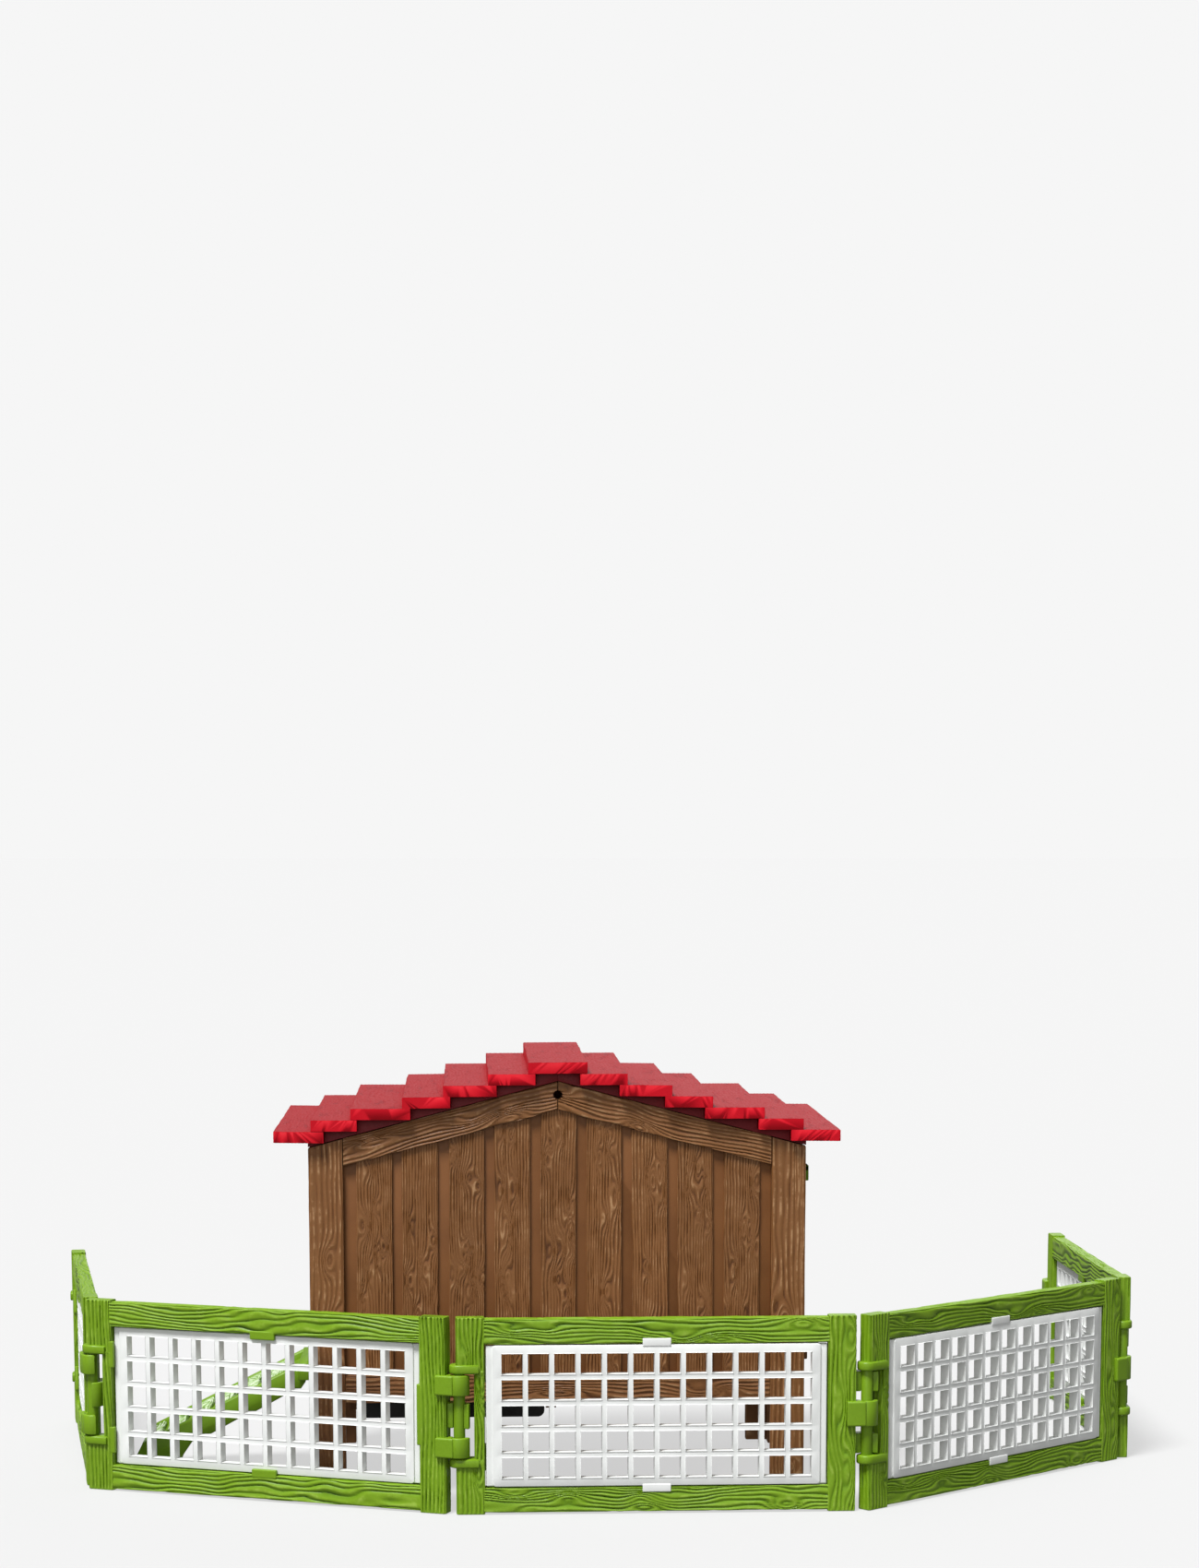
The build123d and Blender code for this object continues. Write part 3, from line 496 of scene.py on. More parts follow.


# groove (darkened partly as painted shade), body, ridge and brushed colour as display values, where the
# brushing starts, roughness
BROWN = grained_plastic("brown_plastic", (76, 42, 15), (119, 77, 41), (127, 85, 48), (170, 130, 92),
                        0.84, 0.52)
BROWN_PLAIN = plain_plastic("brown_groove_plastic", (121, 77, 40), (111, 69, 34), 0.52)
GREEN = grained_plastic("green_plastic", (28, 60, 0), (105, 142, 17), (118, 154, 28),
                        (146, 178, 64), 0.88, 0.44)
GREEN_SMOOTH = plain_plastic("green_smooth_plastic", (106, 143, 18), (97, 134, 14), 0.44)
# Pale, nearly white ramp treads, brushed from a low grain value: partly dry-brushed paint, partly a painted
# highlight for their lit tops
GREEN_BRUSHED_AND_HIGHLIT = grained_plastic("ramp_green_brushed_and_highlit", (34, 66, 6), (112, 150, 60),
                                (176, 204, 146), (222, 231, 212), 0.3, 0.5)
WHITE = plain_plastic("white_plastic", (231, 233, 231), (224, 226, 224), 0.5)
RED = roof_plastic()
# Dark red of the roof's underside and lips: painted shade, the red plastic as it looks in the shadow under
# the boards
RED_SHADED = plain_plastic("roof_underside_painted_shade", (112, 10, 20), (98, 8, 16), 0.55)
# Near black for the droppings tray: partly dark plastic, partly painted shade for the dark under the floor
TRAY_BLACK_AND_SHADE = plain_plastic("tray_dark_plastic_and_shade", (26, 22, 22), (18, 16, 16), 0.45)


# ---- house ----
WOOD_STEPS, PLANK_STEPS, FINE_STEPS = (0.8, 0.24), (0.6, 0.19), (0.6, 0.2)
WHOLE = (80, 80)       # steps that leave a flat face in one piece
INNER_HALF = HALF_W - POST_W
FRONT_HALF, FRONT_SILL, FRONT_HEAD = 61.2, 38.0, 96.4
SIDE_Y0, SIDE_Y1, SIDE_SILL, SIDE_HEAD = 16.0, 74.0, 38.0, 97.4
DOORWAY_HALF, DOORWAY_TOP = 14.0, 80.0
FRONT_ROD_X, BRACKET_T, BRACKET_HALF, ROD_OUT = 59.0, 2.6, 2.0, 0.2
BUTTON_Z, BUTTON_BOSS_R = 100.4, 2.6
SINK = 0.4             # how far a board goes into the plate behind it
MITRE_GAP = 0.04       # keeps the two rake boards from touching under the ridge
PLATE_GAP = 0.1        # between the wall plates and the roof
PLATE_BOTTOM = RAIL_BOTTOM + 0.2
CUT_OUT = 2.0          # how far a cutter stands out of the wall on both sides


def plank(shell, middle, bottom, top, seed, width=PLANK_W):
    """One upright plank of a wall, in the wall's own axes: along, depth, height."""
    draw = np.random.default_rng(seed)
    lean, shift = draw.uniform(-0.5, 0.5, 2) * min(1.0, width / PLANK_W)
    length = top - bottom
    grain = Grain(seed + 400, 0.85, 0.9, int(length / 8), length, width, 1.15, (2.5, 5.0), 5.0)

    def place(u, v, w):
        return (middle + 0.5 * shift + v + lean * (u / length - 0.5),
                (PLANK_FACE + BASE_FACE + SINK) / 2 + w, bottom + u)

    board(shell, (length, width, BASE_FACE + SINK - PLANK_FACE), place, grain, 0.33, 0.35,
          PLANK_STEPS, draw.uniform(-1, 1), 0.3, seed, two_faced=False)


def gable_planks(bottom, seed):
    shell = Shell()
    for index in range(-4, 5):
        top = fascia_line(abs(index) * PLANK_PITCH + PLANK_W / 2) + 2.5
        plank(shell, index * PLANK_PITCH, bottom, top, seed + index)
    return shell


def rake_boards(seed):
    """Two boards along the roof's slopes that meet in a mitre under the ridge."""
    shell = Shell()
    for side in (-1, 1):
        grain = Grain(seed + side, 1.15, 1.5, 3, INNER_HALF, FASCIA_OUT, 1.3)

        def place(u, v, w):
            x = INNER_HALF - u
            top, bottom = roof_line(x), fascia_line(x)
            wave = 0.25 * noise(u / 9, u * 0, seed + 3) * (v < 0)
            height = (top + bottom + 2 * v / FASCIA_OUT * (top - bottom)) / 2 + wave
            return side * x, (BASE_FACE + SINK) / 2 + w, height

        board(shell, (INNER_HALF - MITRE_GAP, FASCIA_OUT, BASE_FACE + SINK), place, grain, 0.42, 0.4,
              FINE_STEPS, 0.3 * side, two_faced=False)
    return shell


# The default tone of -0.4 makes the lower rails a little darker: painted shade for rails that sit in shade
def wall_rail(shell, start, end, bottom, top, seed, face=RAIL_FACE, tone=-0.4):
    """A level board of a wall, in the wall's own axes."""
    block(shell, (start, face, bottom), (end, BASE_FACE + SINK, top), 0.4, 0, 1,
          grain=Grain(seed, 1.25, 1.2, 4, end - start, top - bottom, 1.3), depth=0.35,
          steps=WOOD_STEPS, tone=tone, two_faced=False)


def gable_plate():
    """The plain wall behind the boards of a gable."""
    shell = Shell()
    outline = [(-INNER_HALF, PLATE_BOTTOM), (INNER_HALF, PLATE_BOTTOM)]
    outline += [(x, roof_line(x) - PLATE_GAP) for x in (INNER_HALF, 0, -INNER_HALF)]
    prism(shell, outline, BASE_FACE, WALL_T, 0.1)
    return shell


def about_face(x, y, z):
    """From the rear gable's place to the front gable's."""
    return -x, DEPTH - y, z


def peg_hole():
    hole = Shell()
    rod(hole, PEG_R, (0, -CUT_OUT, PEG_Z), (0, WALL_T + CUT_OUT, PEG_Z), 40)
    return hole


def gable_boards(name, move, bottom, plank_seed, rake_seed):
    """A gable's planks and rake boards."""
    gable_planks(bottom, plank_seed).placed(move).piece(f"{name}_gable_planks", BROWN, "hutch",
                                                        f"{name}_gable_wall")
    rakes = rake_boards(rake_seed).placed(move).piece(f"{name}_rake_boards", BROWN, "hutch")
    cut(rakes, peg_hole().placed(move), True)


def gable_rail(seed):
    rail = Shell()
    wall_rail(rail, -INNER_HALF, INNER_HALF, RAIL_BOTTOM, RAIL_TOP, seed)
    return rail


def rear_gable():
    gable_boards("rear", lambda *place: place, RAIL_TOP - 1.5, 100, 1000)
    gable_rail(1050).piece("rear_gable_rail", BROWN, "hutch")
    cut(gable_plate().piece("rear_gable_plate", BROWN_PLAIN, "hutch"), peg_hole())


def front_gable():
    gable_boards("front", about_face, FRONT_HEAD, 140, 1100)
    rail = gable_rail(1150)
    for x in (-FRONT_ROD_X, FRONT_ROD_X):
        for z0 in (FRONT_SILL - BRACKET_T, FRONT_HEAD):
            block(rail, (x - BRACKET_HALF, -ROD_OUT - BRACKET_HALF, z0),
                  (x + BRACKET_HALF, WALL_T, z0 + BRACKET_T), 0.4)
    rod(rail, BUTTON_BOSS_R, (0, -0.1, BUTTON_Z), (0, WALL_T, BUTTON_Z), 32, 0.3)
    rail.placed(about_face).piece("front_gable_rail", BROWN, "hutch")
    opening = Shell()
    block(opening, (-FRONT_HALF, -CUT_OUT, FRONT_SILL), (FRONT_HALF, WALL_T + CUT_OUT, FRONT_HEAD),
          HAIRLINE)
    plate = gable_plate().placed(about_face).piece("front_gable_plate", BROWN_PLAIN, "hutch")
    cut(plate, opening.placed(about_face))
    cut(plate, peg_hole().placed(about_face))


def side_place(side):
    """From a side wall's own axes, along, depth and height, to the hutch's."""
    return lambda along, depth, height: (side * (HALF_W - depth), along, height)


def side_trim(seed):
    """Top and bottom boards of a side wall, in the wall's own axes."""
    shell = Shell()
    y0, y1 = POST_W, DEPTH - POST_W
    wall_rail(shell, y0, y1, RAIL_BOTTOM, RAIL_TOP, seed)
    wall_rail(shell, y0, y1, SIDE_HEAD, EAVE_Z - PLATE_GAP, seed + 1, 0.0, 0.2)
    return shell


def side_plank(shell, middle, seed, width=PLANK_W):
    """A plank between a side wall's rails, its ends under them."""
    plank(shell, middle, RAIL_TOP - 1, SIDE_HEAD + 1, seed, width)


def side_plate():
    """The plain wall behind the boards of a side wall."""
    shell = Shell()
    y0, y1 = POST_W, DEPTH - POST_W
    block(shell, (y0, BASE_FACE, PLATE_BOTTOM), (y1, WALL_T, EAVE_Z - PLATE_GAP), 0.1, steps=WHOLE)
    return shell


def left_side_wall():
    move, y = side_place(-1), DEPTH / 2
    trim = side_trim(1200)
    for index in (-2, 2):
        side_plank(trim, y + index * PLANK_PITCH, 180 + index)
    brackets, half = Shell(), RAMP_BRACKET_HALF
    for y0 in (RAMP_Y0 - RAMP_PLAY - BRACKET_T, RAMP_Y1 + RAMP_PLAY):
        block(brackets, (y0, HALF_W + RAMP_ROD_X - half, RAMP_ROD_Z - half),
              (y0 + BRACKET_T, BASE_FACE, RAMP_ROD_Z + half), 0.4)
    brackets.placed(move).piece("ramp_brackets", GREEN_SMOOTH, "hutch")
    trim.placed(move).piece("left_wall_boards", BROWN, "hutch", "left_side_wall")
    turn = np.linspace(0, pi, 25)
    centre_z = DOORWAY_TOP - DOORWAY_HALF
    outline = [(y + DOORWAY_HALF * cos(a), centre_z + DOORWAY_HALF * sin(a)) for a in turn]
    outline += [(y - DOORWAY_HALF, RAIL_TOP), (y + DOORWAY_HALF, RAIL_TOP)]
    doorway = Shell()
    prism(doorway, outline, -CUT_OUT, WALL_T + CUT_OUT, HAIRLINE)
    middle = Shell()
    for index in (-1, 0, 1):
        side_plank(middle, y + index * PLANK_PITCH, 190 + index)
    for name, shell, material in (("left_wall_doorway_planks", middle, BROWN),
                                  ("left_wall_plate", side_plate(), BROWN_PLAIN)):
        cut(shell.placed(move).piece(name, material, "hutch"), doorway.placed(move))


def right_side_wall():
    move = side_place(1)
    trim = side_trim(1300)
    strip = SIDE_Y0 - (DEPTH / 2 - 2 * PLANK_PITCH - PLANK_W / 2)
    for k, middle in enumerate((SIDE_Y0 - strip / 2, SIDE_Y1 + strip / 2)):
        side_plank(trim, middle, 210 + k, strip)
    for y0 in (SIDE_Y0 - BRACKET_T, SIDE_Y1):
        block(trim, (y0, -ROD_OUT - BRACKET_HALF, SIDE_ROD_Z - BRACKET_HALF),
              (y0 + BRACKET_T, WALL_T, SIDE_ROD_Z + BRACKET_HALF), 0.4)
    trim.placed(move).piece("right_wall_boards", BROWN, "hutch", "right_side_wall")
    opening = Shell()
    block(opening, (SIDE_Y0, -CUT_OUT, SIDE_SILL), (SIDE_Y1, WALL_T + CUT_OUT, SIDE_HEAD), HAIRLINE)
    cut(side_plate().placed(move).piece("right_wall_plate", BROWN_PLAIN, "hutch"),
        opening.placed(move))


def corner_post(shell, seed):
    """The rear left post: two upright boards that meet at the corner, cut to the roof's slope."""
    grains = [Grain(number, 1.6, 0.7, 4, EAVE_Z, POST_W, 1.5, (3.0, 7.0), 6.0)
              for number in (seed, seed + 5)]

    def place(u, v, w):
        inward = POST_W / 2 + v
        return -HALF_W + inward, WALL_T / 2 + w, u * roof_line(HALF_W - inward) / EAVE_Z

    board(shell, (EAVE_Z, POST_W, WALL_T), place, grains[0], 0.3, 0.6, FINE_STEPS, 0.2,
          two_faced=False)
    block(shell, (0.05, -HALF_W + 0.15, 0), (POST_W, -HALF_W + WALL_T, EAVE_Z - 0.1), 0.6, 2, 1,
          grain=grains[1], depth=0.3, steps=FINE_STEPS, two_faced=False)
    side_points = shell.points[-1]
    side_points[:, [0, 1]] = side_points[:, [1, 0]]


def corner_posts():
    for number, (x_side, y_side) in enumerate(((-1, -1), (1, -1), (-1, 1), (1, 1))):
        name = f"corner_post_{'rear' if y_side < 0 else 'front'}_{'left' if x_side < 0 else 'right'}"
        shell = Shell()
        corner_post(shell, 300 + 10 * number)

        def move(x, y, z):
            return -x_side * x, y if y_side < 0 else DEPTH - y, z

        shell.placed(move).piece(name + "_boards", BROWN, "hutch", name)


# ---- doors ----
LEAF_FRAME, LEAF_SET, KNUCKLE_R, KNUCKLE_H = 6.0, 0.2, 1.9, 7.0
SIDE_ROD_Z, SIDE_LEAF_T, SIDE_LEAF_EXTRA = 40.4, 3.6, 0.5
KNUCKLE_INSET, SIDE_KNUCKLE_INSET = 8.0, 9.0
KNUCKLE_ROOM, KNUCKLE_ROOT, DOOR_MESH_BORDER = 2.6, 2.0, 1.5
NECK_R, KNOB_HEAD, LATCH_STEM_T, LATCH_T = 0.9, 1.8, 2.0, 1.8
BUTTON_T, BUTTON_PIN_R, BUTTON_HEAD_R = 1.8, 1.0, 1.7


def leaf(shell, width, height, thick, seed):
    """A door's frame centred on the origin: two stiles and two rails between them."""
    x, z, y = width / 2, height / 2, thick / 2
    for k, x0 in enumerate((-x, x - LEAF_FRAME)):
        block(shell, (x0, -y, -z), (x0 + LEAF_FRAME, y, z), 0.45, 2, 1,
              grain=Grain(seed + k, 1.2, 0.8, 3, height, LEAF_FRAME, 1.8), depth=0.3, steps=WOOD_STEPS)
    for k, z0 in enumerate((-z, z - LEAF_FRAME)):
        block(shell, (LEAF_FRAME - x - 0.5, 0.12 - y, z0 + 0.05),
              (x - LEAF_FRAME + 0.5, y - 0.12, z0 + LEAF_FRAME - 0.05), 0.45, 0, 1,
              grain=Grain(seed + 5 + k, 1.2, 1.1, 3, width, LEAF_FRAME, 1.8), depth=0.3,
              steps=WOOD_STEPS)


def front_doors():
    for side, name in ((1, "right"), (-1, "left")):
        body = f"front_door_{name}"
        low, high = hutch_box(f"{body}_frame")
        mesh_low, mesh_high = hutch_box(f"{body}_mesh")
        middle = (mesh_low + mesh_high) / 2
        width = mesh_high[0] - mesh_low[0] + 2 * LEAF_FRAME
        height = high[2] - low[2]
        thick = DEPTH - LEAF_SET - low[1]
        shell = Shell()
        leaf(shell, width, height, thick, 1400 + 20 * side)
        at = (middle[0], low[1] + thick / 2, middle[2])
        shell = shell.placed(lambda x, y, z: (x + at[0], y + at[1], z + at[2]))
        rod_x, rod_y, edge_x = side * FRONT_ROD_X, DEPTH + ROD_OUT, at[0] + side * width / 2
        for z in (FRONT_SILL + KNUCKLE_INSET, at[2], FRONT_HEAD - KNUCKLE_INSET):
            z0, z1 = z - KNUCKLE_H / 2, z + KNUCKLE_H / 2
            x0, x1 = sorted((edge_x - side * KNUCKLE_ROOT, rod_x))
            block(shell, (x0, rod_y - KNUCKLE_R, z0 + 0.1), (x1, DEPTH - LEAF_SET, z1 - 0.1), 0.2)
            rod(shell, KNUCKLE_R, (rod_x, rod_y, z0), (rod_x, rod_y, z1), 28, 0.25)
        shell.piece(f"{body}_boards", GREEN, body, f"{body}_frame")
        infill(body, mesh_low, mesh_high, 0)
        low, high = hutch_box(f"{body}_knob")
        x, z = (low[0] + high[0]) / 2, (low[2] + high[2]) / 2
        knob = Shell()
        rod(knob, NECK_R, (x, low[1] - 0.3, z), (x, high[1] - KNOB_HEAD + 0.3, z), 20, 0.1)
        rod(knob, (high[0] - low[0]) / 2, (x, high[1] - KNOB_HEAD, z), (x, high[1], z), 28, 0.7)
        knob.piece(f"{body}_pull", GREEN_SMOOTH, body, f"{body}_knob")


def side_door():
    low, high = hutch_box("side_door_mesh")
    middle = (low + high) / 2
    width, height = high[1:] - low[1:] + 2 * LEAF_FRAME
    leaf_x = HALF_W - LEAF_SET - SIDE_LEAF_T / 2
    shell = Shell()
    leaf(shell, width, height + SIDE_LEAF_EXTRA, SIDE_LEAF_T, 1500)
    shell = shell.placed(lambda x, y, z: (leaf_x - y, middle[1] + x, middle[2] + z))
    rod_x = HALF_W + ROD_OUT
    for y in (SIDE_Y0 + SIDE_KNUCKLE_INSET, SIDE_Y1 - SIDE_KNUCKLE_INSET):
        y0, y1 = y - KNUCKLE_H / 2, y + KNUCKLE_H / 2
        block(shell, (rod_x - KNUCKLE_R, y0 + 0.1, SIDE_ROD_Z),
              (HALF_W - LEAF_SET, y1 - 0.1, SIDE_ROD_Z + KNUCKLE_ROOM + KNUCKLE_ROOT), 0.2)
        rod(shell, KNUCKLE_R, (rod_x, y0, SIDE_ROD_Z), (rod_x, y1, SIDE_ROD_Z), 28, 0.25)
    shell.piece("side_door_boards", GREEN, "side_door", "side_door_frame")
    infill("side_door", low, high, 1)
    low, high = hutch_box("side_door_latch")
    latch = Shell()
    block(latch, (low[0] - 0.3, low[1], high[2] - LATCH_STEM_T), high, 0.4)
    block(latch, (high[0] - LATCH_T, low[1], low[2]), high, 0.4)
    latch.piece("side_door_lug", GREEN_SMOOTH, "side_door", "side_door_latch")


def infill(body, low, high, along):
    """A door's mesh between two corners; along is the axis of its width."""
    size = high - low
    middle = (low + high) / 2
    columns, rows = (int((size[axis] - 2 * DOOR_MESH_BORDER) // CELL) for axis in (along, 2))
    shell = Shell()
    lattice(shell, size[along], size[2], size[1 - along], columns, rows, 0.3)

    def place(x, y, z):
        out = [None, None, z + middle[2]]
        out[along], out[1 - along] = x + middle[along], y + middle[1 - along]
        return out

    shell.placed(place).piece(f"{body}_mesh_moulding", WHITE, body, f"{body}_mesh")


def turn_button():
    """The bar outside the wall, its pin through the wall and the pin's head inside."""
    low, high = hutch_box("door_turn_button")
    shell = Shell()
    block(shell, (low[0], high[1] - BUTTON_T, low[2]), high, 0.5)
    for radius, y0, y1 in ((BUTTON_PIN_R, low[1] + 0.5, high[1] - 1),
                           (BUTTON_HEAD_R, low[1], low[1] + 1)):
        rod(shell, radius, (0, y0, BUTTON_Z), (0, y1, BUTTON_Z))
    shell.piece("turn_button_bar", GREEN_SMOOTH, "turn_button", "door_turn_button")


# ---- ramp ----
RAMP_Y0, RAMP_Y1, RAMP_RAIL_T, RAMP_PLAY = 29.0, 61.0, 2.6, 0.5
RAMP_ROD_X, RAMP_ROD_Z, RAMP_EAR_R, RAMP_BRACKET_HALF = -76.6, 33.2, 2.7, 2.2
RAMP_SLOPE, RAMP_TOP, RAMP_DECK_DROP, HEAD_ROUND = 0.5, 3.2, 2.2, 2.0
RAMP_HEAD_Z, SHOULDER_BACK, RAMP_NOSE_X = 27.9, 2.2, -126.4
RAMP_FOOT = ((-129.0, 6.4), (-130.0, 4.4), (-130.3, 2.4), (-129.9, 0.9), (-129.1, 0.0),
             (-117.6, 0.0), (-114.6, 7.0), (-111.3, 11.8))
FIRST_NOTCH, NOTCHES, NOTCH_FLAT, NOTCH_RISE, NOTCH_LIP = (-108.6, 14.1), 3, 3.0, 4.6, 2.4
RAMP_STEP = 13.8
TREADS, TREAD_PITCH, FIRST_TREAD_X, TREAD_LEN, TREAD_T, TREAD_RISE = 6, 7.6, -123.9, 5.8, 1.6, 0.72


def ramp_top(x):
    return RAMP_ROD_Z + RAMP_TOP + RAMP_SLOPE * (x - RAMP_ROD_X)


def ramp_outline(lower_top=0.0):
    """Side view of the ramp: rounded foot, straight top, an underside in four steps."""
    points = [(RAMP_ROD_X, RAMP_ROD_Z + HEAD_ROUND)]
    points += [(x, ramp_top(x) - lower_top) for x in (RAMP_ROD_X - SHOULDER_BACK, RAMP_NOSE_X)]
    points += RAMP_FOOT
    for notch in range(NOTCHES):
        x = FIRST_NOTCH[0] + notch * RAMP_STEP
        z = FIRST_NOTCH[1] + notch * RAMP_STEP * RAMP_SLOPE
        points += [(x, z), (x + NOTCH_FLAT, z)]
        if notch < NOTCHES - 1:
            points.append((x + RAMP_STEP - NOTCH_LIP, z + NOTCH_RISE))
    return points + [(RAMP_ROD_X, RAMP_HEAD_Z + HEAD_ROUND)]


def ramp():
    rails = Shell()
    for y0 in (RAMP_Y0, RAMP_Y1 - RAMP_RAIL_T):
        prism(rails, ramp_outline(), y0, y0 + RAMP_RAIL_T, 0.6)
    prism(rails, ramp_outline(RAMP_DECK_DROP), RAMP_Y0 + 1, RAMP_Y1 - 1, 0.2)
    rod(rails, RAMP_EAR_R, (RAMP_ROD_X, RAMP_Y0, RAMP_ROD_Z), (RAMP_ROD_X, RAMP_Y1, RAMP_ROD_Z), 32, 0.4)
    rails.piece("ramp_rails", GREEN_SMOOTH, "ramp", "ramp_frame")
    treads = Shell()
    run = hypot(1, RAMP_SLOPE)
    along = np.array([1 / run, RAMP_SLOPE / run])
    up = np.array([-along[1], along[0]])
    inside = RAMP_RAIL_T + 0.1
    for index in range(TREADS):
        x = FIRST_TREAD_X + index * TREAD_PITCH
        middle = np.array([x, ramp_top(x + 0.3) - RAMP_DECK_DROP]) + TREAD_RISE * up
        grain = Grain(1600 + index, 1.5, 1.6, 4, RAMP_Y1 - RAMP_Y0, TREAD_LEN, 1.6)

        def place(u, v, w):
            return (middle[0] + along[0] * v - up[0] * w, RAMP_Y0 + inside + u,
                    middle[1] + along[1] * v - up[1] * w)

        board(treads, (RAMP_Y1 - RAMP_Y0 - 2 * inside, TREAD_LEN, TREAD_T), place, grain, 0.4, 0.5,
              FINE_STEPS, two_faced=False)
    treads.piece("ramp_tread_boards", GREEN_BRUSHED_AND_HIGHLIT, "ramp", "ramp_treads")


# ---- fence ----
PITCH = hypot(*(JOINTS["fence_right_hinge"] - JOINTS["fence_left_hinge"])[:2])
FENCE_H = node_box("fence_centre_frame")[1][2]
FRAME_T, FACE = 4.6, -2.3
ROD_R, HOOK_R, HOOK_BORE_R = 1.7, 3.3, 1.78
STILE_IN, STILE_OUT = 7.4, -1.0
HOOK_STILE_IN, HOOK_STILE_OUT = 107.0, PITCH - 3.3
RAIL_H = 8.0
HOOKS = (25.3, 32.7, -1), (16.9, 22.8, 1), (35.2, 41.1, 1)     # bottom, top and side of each
HOOK_PAD, HOOK_ROOT = (6.2, 0.4), (5.0, 2.4)     # from and to, back from the next rod
NOTCH_X, NOTCH_Z0, NOTCH_Z1 = 4.3, 16.5, 41.5
ARM_H, ARM_END_R, ARM_ROOT_X, ARM_ROOT_HALF = 2.6, 2.9, 5.6, 3.1
GRID_T, GRID_SET, GRID_PLAY = 3.0, 0.2, 0.3
GRID_Y = FACE + GRID_SET + GRID_T / 2
CELL, HOLE = 7.62, 6.1
COLUMNS, ROWS = 12, 5
STRIP_W, STRIP_SET, STRIP_LAP, GRID_EDGE = 1.9, 0.5, 2.2, 0.16
TAB_HALF, TAB_OUT, TAB_T = 4.2, 1.9, 1.2
FENCE_STEPS = (0.7, 0.18)
CARVED = 0.58


def rod_stile(shell):
    """The rod's stile: boards above and below the finger gap and a strip beside it."""
    t = FRAME_T / 2
    for k, (x0, z0, z1) in enumerate(((STILE_OUT, 0, NOTCH_Z0), (STILE_OUT, NOTCH_Z1, FENCE_H),
                                      (NOTCH_X, NOTCH_Z0 - 1, NOTCH_Z1 + 1))):
        grain = Grain(611 + k, 1.25, 0.8, 1 + (z1 - z0 > 20), z1 - z0, STILE_IN - x0, 2.0)
        block(shell, (x0, -t, z0), (STILE_IN, t, z1), 0.6, 2, 1, grain=grain, depth=CARVED,
              steps=FENCE_STEPS)


def hinge_end(shell):
    """The rod and the two rounded arms that hold it."""
    turn = np.linspace(pi / 2, 3 * pi / 2, 15)
    outline = [(ARM_END_R * cos(a), ARM_END_R * sin(a)) for a in turn]
    outline += [(ARM_ROOT_X, -ARM_ROOT_HALF), (ARM_ROOT_X, ARM_ROOT_HALF)]
    for z0, z1 in ((NOTCH_Z0 - ARM_H, NOTCH_Z0), (NOTCH_Z1, NOTCH_Z1 + ARM_H)):
        slab(shell, outline, z0, z1, 0.5)
    rod(shell, ROD_R, (0, 0, NOTCH_Z0 - 1), (0, 0, NOTCH_Z1 + 1), 28, 0.1)


def hook(shell, z0, z1, side):
    """Half ring over the next panel's rod, with its flat pad on one face."""
    t = FRAME_T / 2
    turn = np.linspace(-0.15, pi + 0.15, 19)
    ring = [(HOOK_R * cos(a), side * HOOK_R * sin(a)) for a in turn]
    ring += [(HOOK_BORE_R * cos(a), side * HOOK_BORE_R * sin(a)) for a in turn[::-1]]
    slab(shell, [(PITCH + x, y) for x, y in ring], z0, z1, 0.3)
    for (back, front), depths, gap, edge in ((HOOK_PAD, (t - 0.6, HOOK_R + 0.3), 0, 0.55),
                                             (HOOK_ROOT, (0.6, t), 0.05, 0.2)):
        low, high = sorted(side * depth for depth in depths)
        block(shell, (PITCH - back, low, z0 + gap), (PITCH - front, high, z1 - gap), edge)


def fence_frame_shell():
    """One panel's frame in its own axes: the rod at x = 0, its face towards -y."""
    shell = Shell()
    t = FRAME_T / 2
    rod_stile(shell)
    hinge_end(shell)
    block(shell, (HOOK_STILE_IN, -t, 0), (HOOK_STILE_OUT, t, FENCE_H), 0.6, 2, 1,
          grain=Grain(621, 1.25, 1.0, 4, FENCE_H, 8.2, 2.0), depth=CARVED, steps=FENCE_STEPS)
    for seed, z0, z1 in ((631, 0.6, RAIL_H), (632, FENCE_H - RAIL_H, FENCE_H - 0.6)):
        block(shell, (STILE_IN - 0.6, -t + 0.15, z0), (HOOK_STILE_IN + 0.6, t - 0.15, z1), 0.5, 0, 1,
              grain=Grain(seed, 1.2, 1.9, 5, 100, 7.4, 2.1), depth=CARVED, steps=FENCE_STEPS)
    for z0, z1, side in HOOKS:
        hook(shell, z0, z1, side)
    grid_lugs(shell)
    return shell


def grid_lugs(shell):
    """Lugs that hold the grid from behind."""
    back, front = GRID_SET + GRID_T - FRAME_T / 2, FRAME_T / 2 - 0.1
    middle = (STILE_IN + HOOK_STILE_IN) / 2
    top = FENCE_H - RAIL_H
    lugs = (((middle - 4, RAIL_H - 1.0), (middle + 4, RAIL_H + 1.6)),
            ((middle - 4, top - 1.6), (middle + 4, top + 1.0)),
            ((STILE_IN - 1, 12.5), (STILE_IN + 0.8, 20.5)),
            ((STILE_IN - 1, 38.5), (STILE_IN + 0.8, 46.5)),
            ((HOOK_STILE_IN - 0.8, 20), (HOOK_STILE_IN + 1, 38)))
    for low, high in lugs:
        block(shell, (low[0], back, low[1]), (high[0], front, high[1]), 0.35)


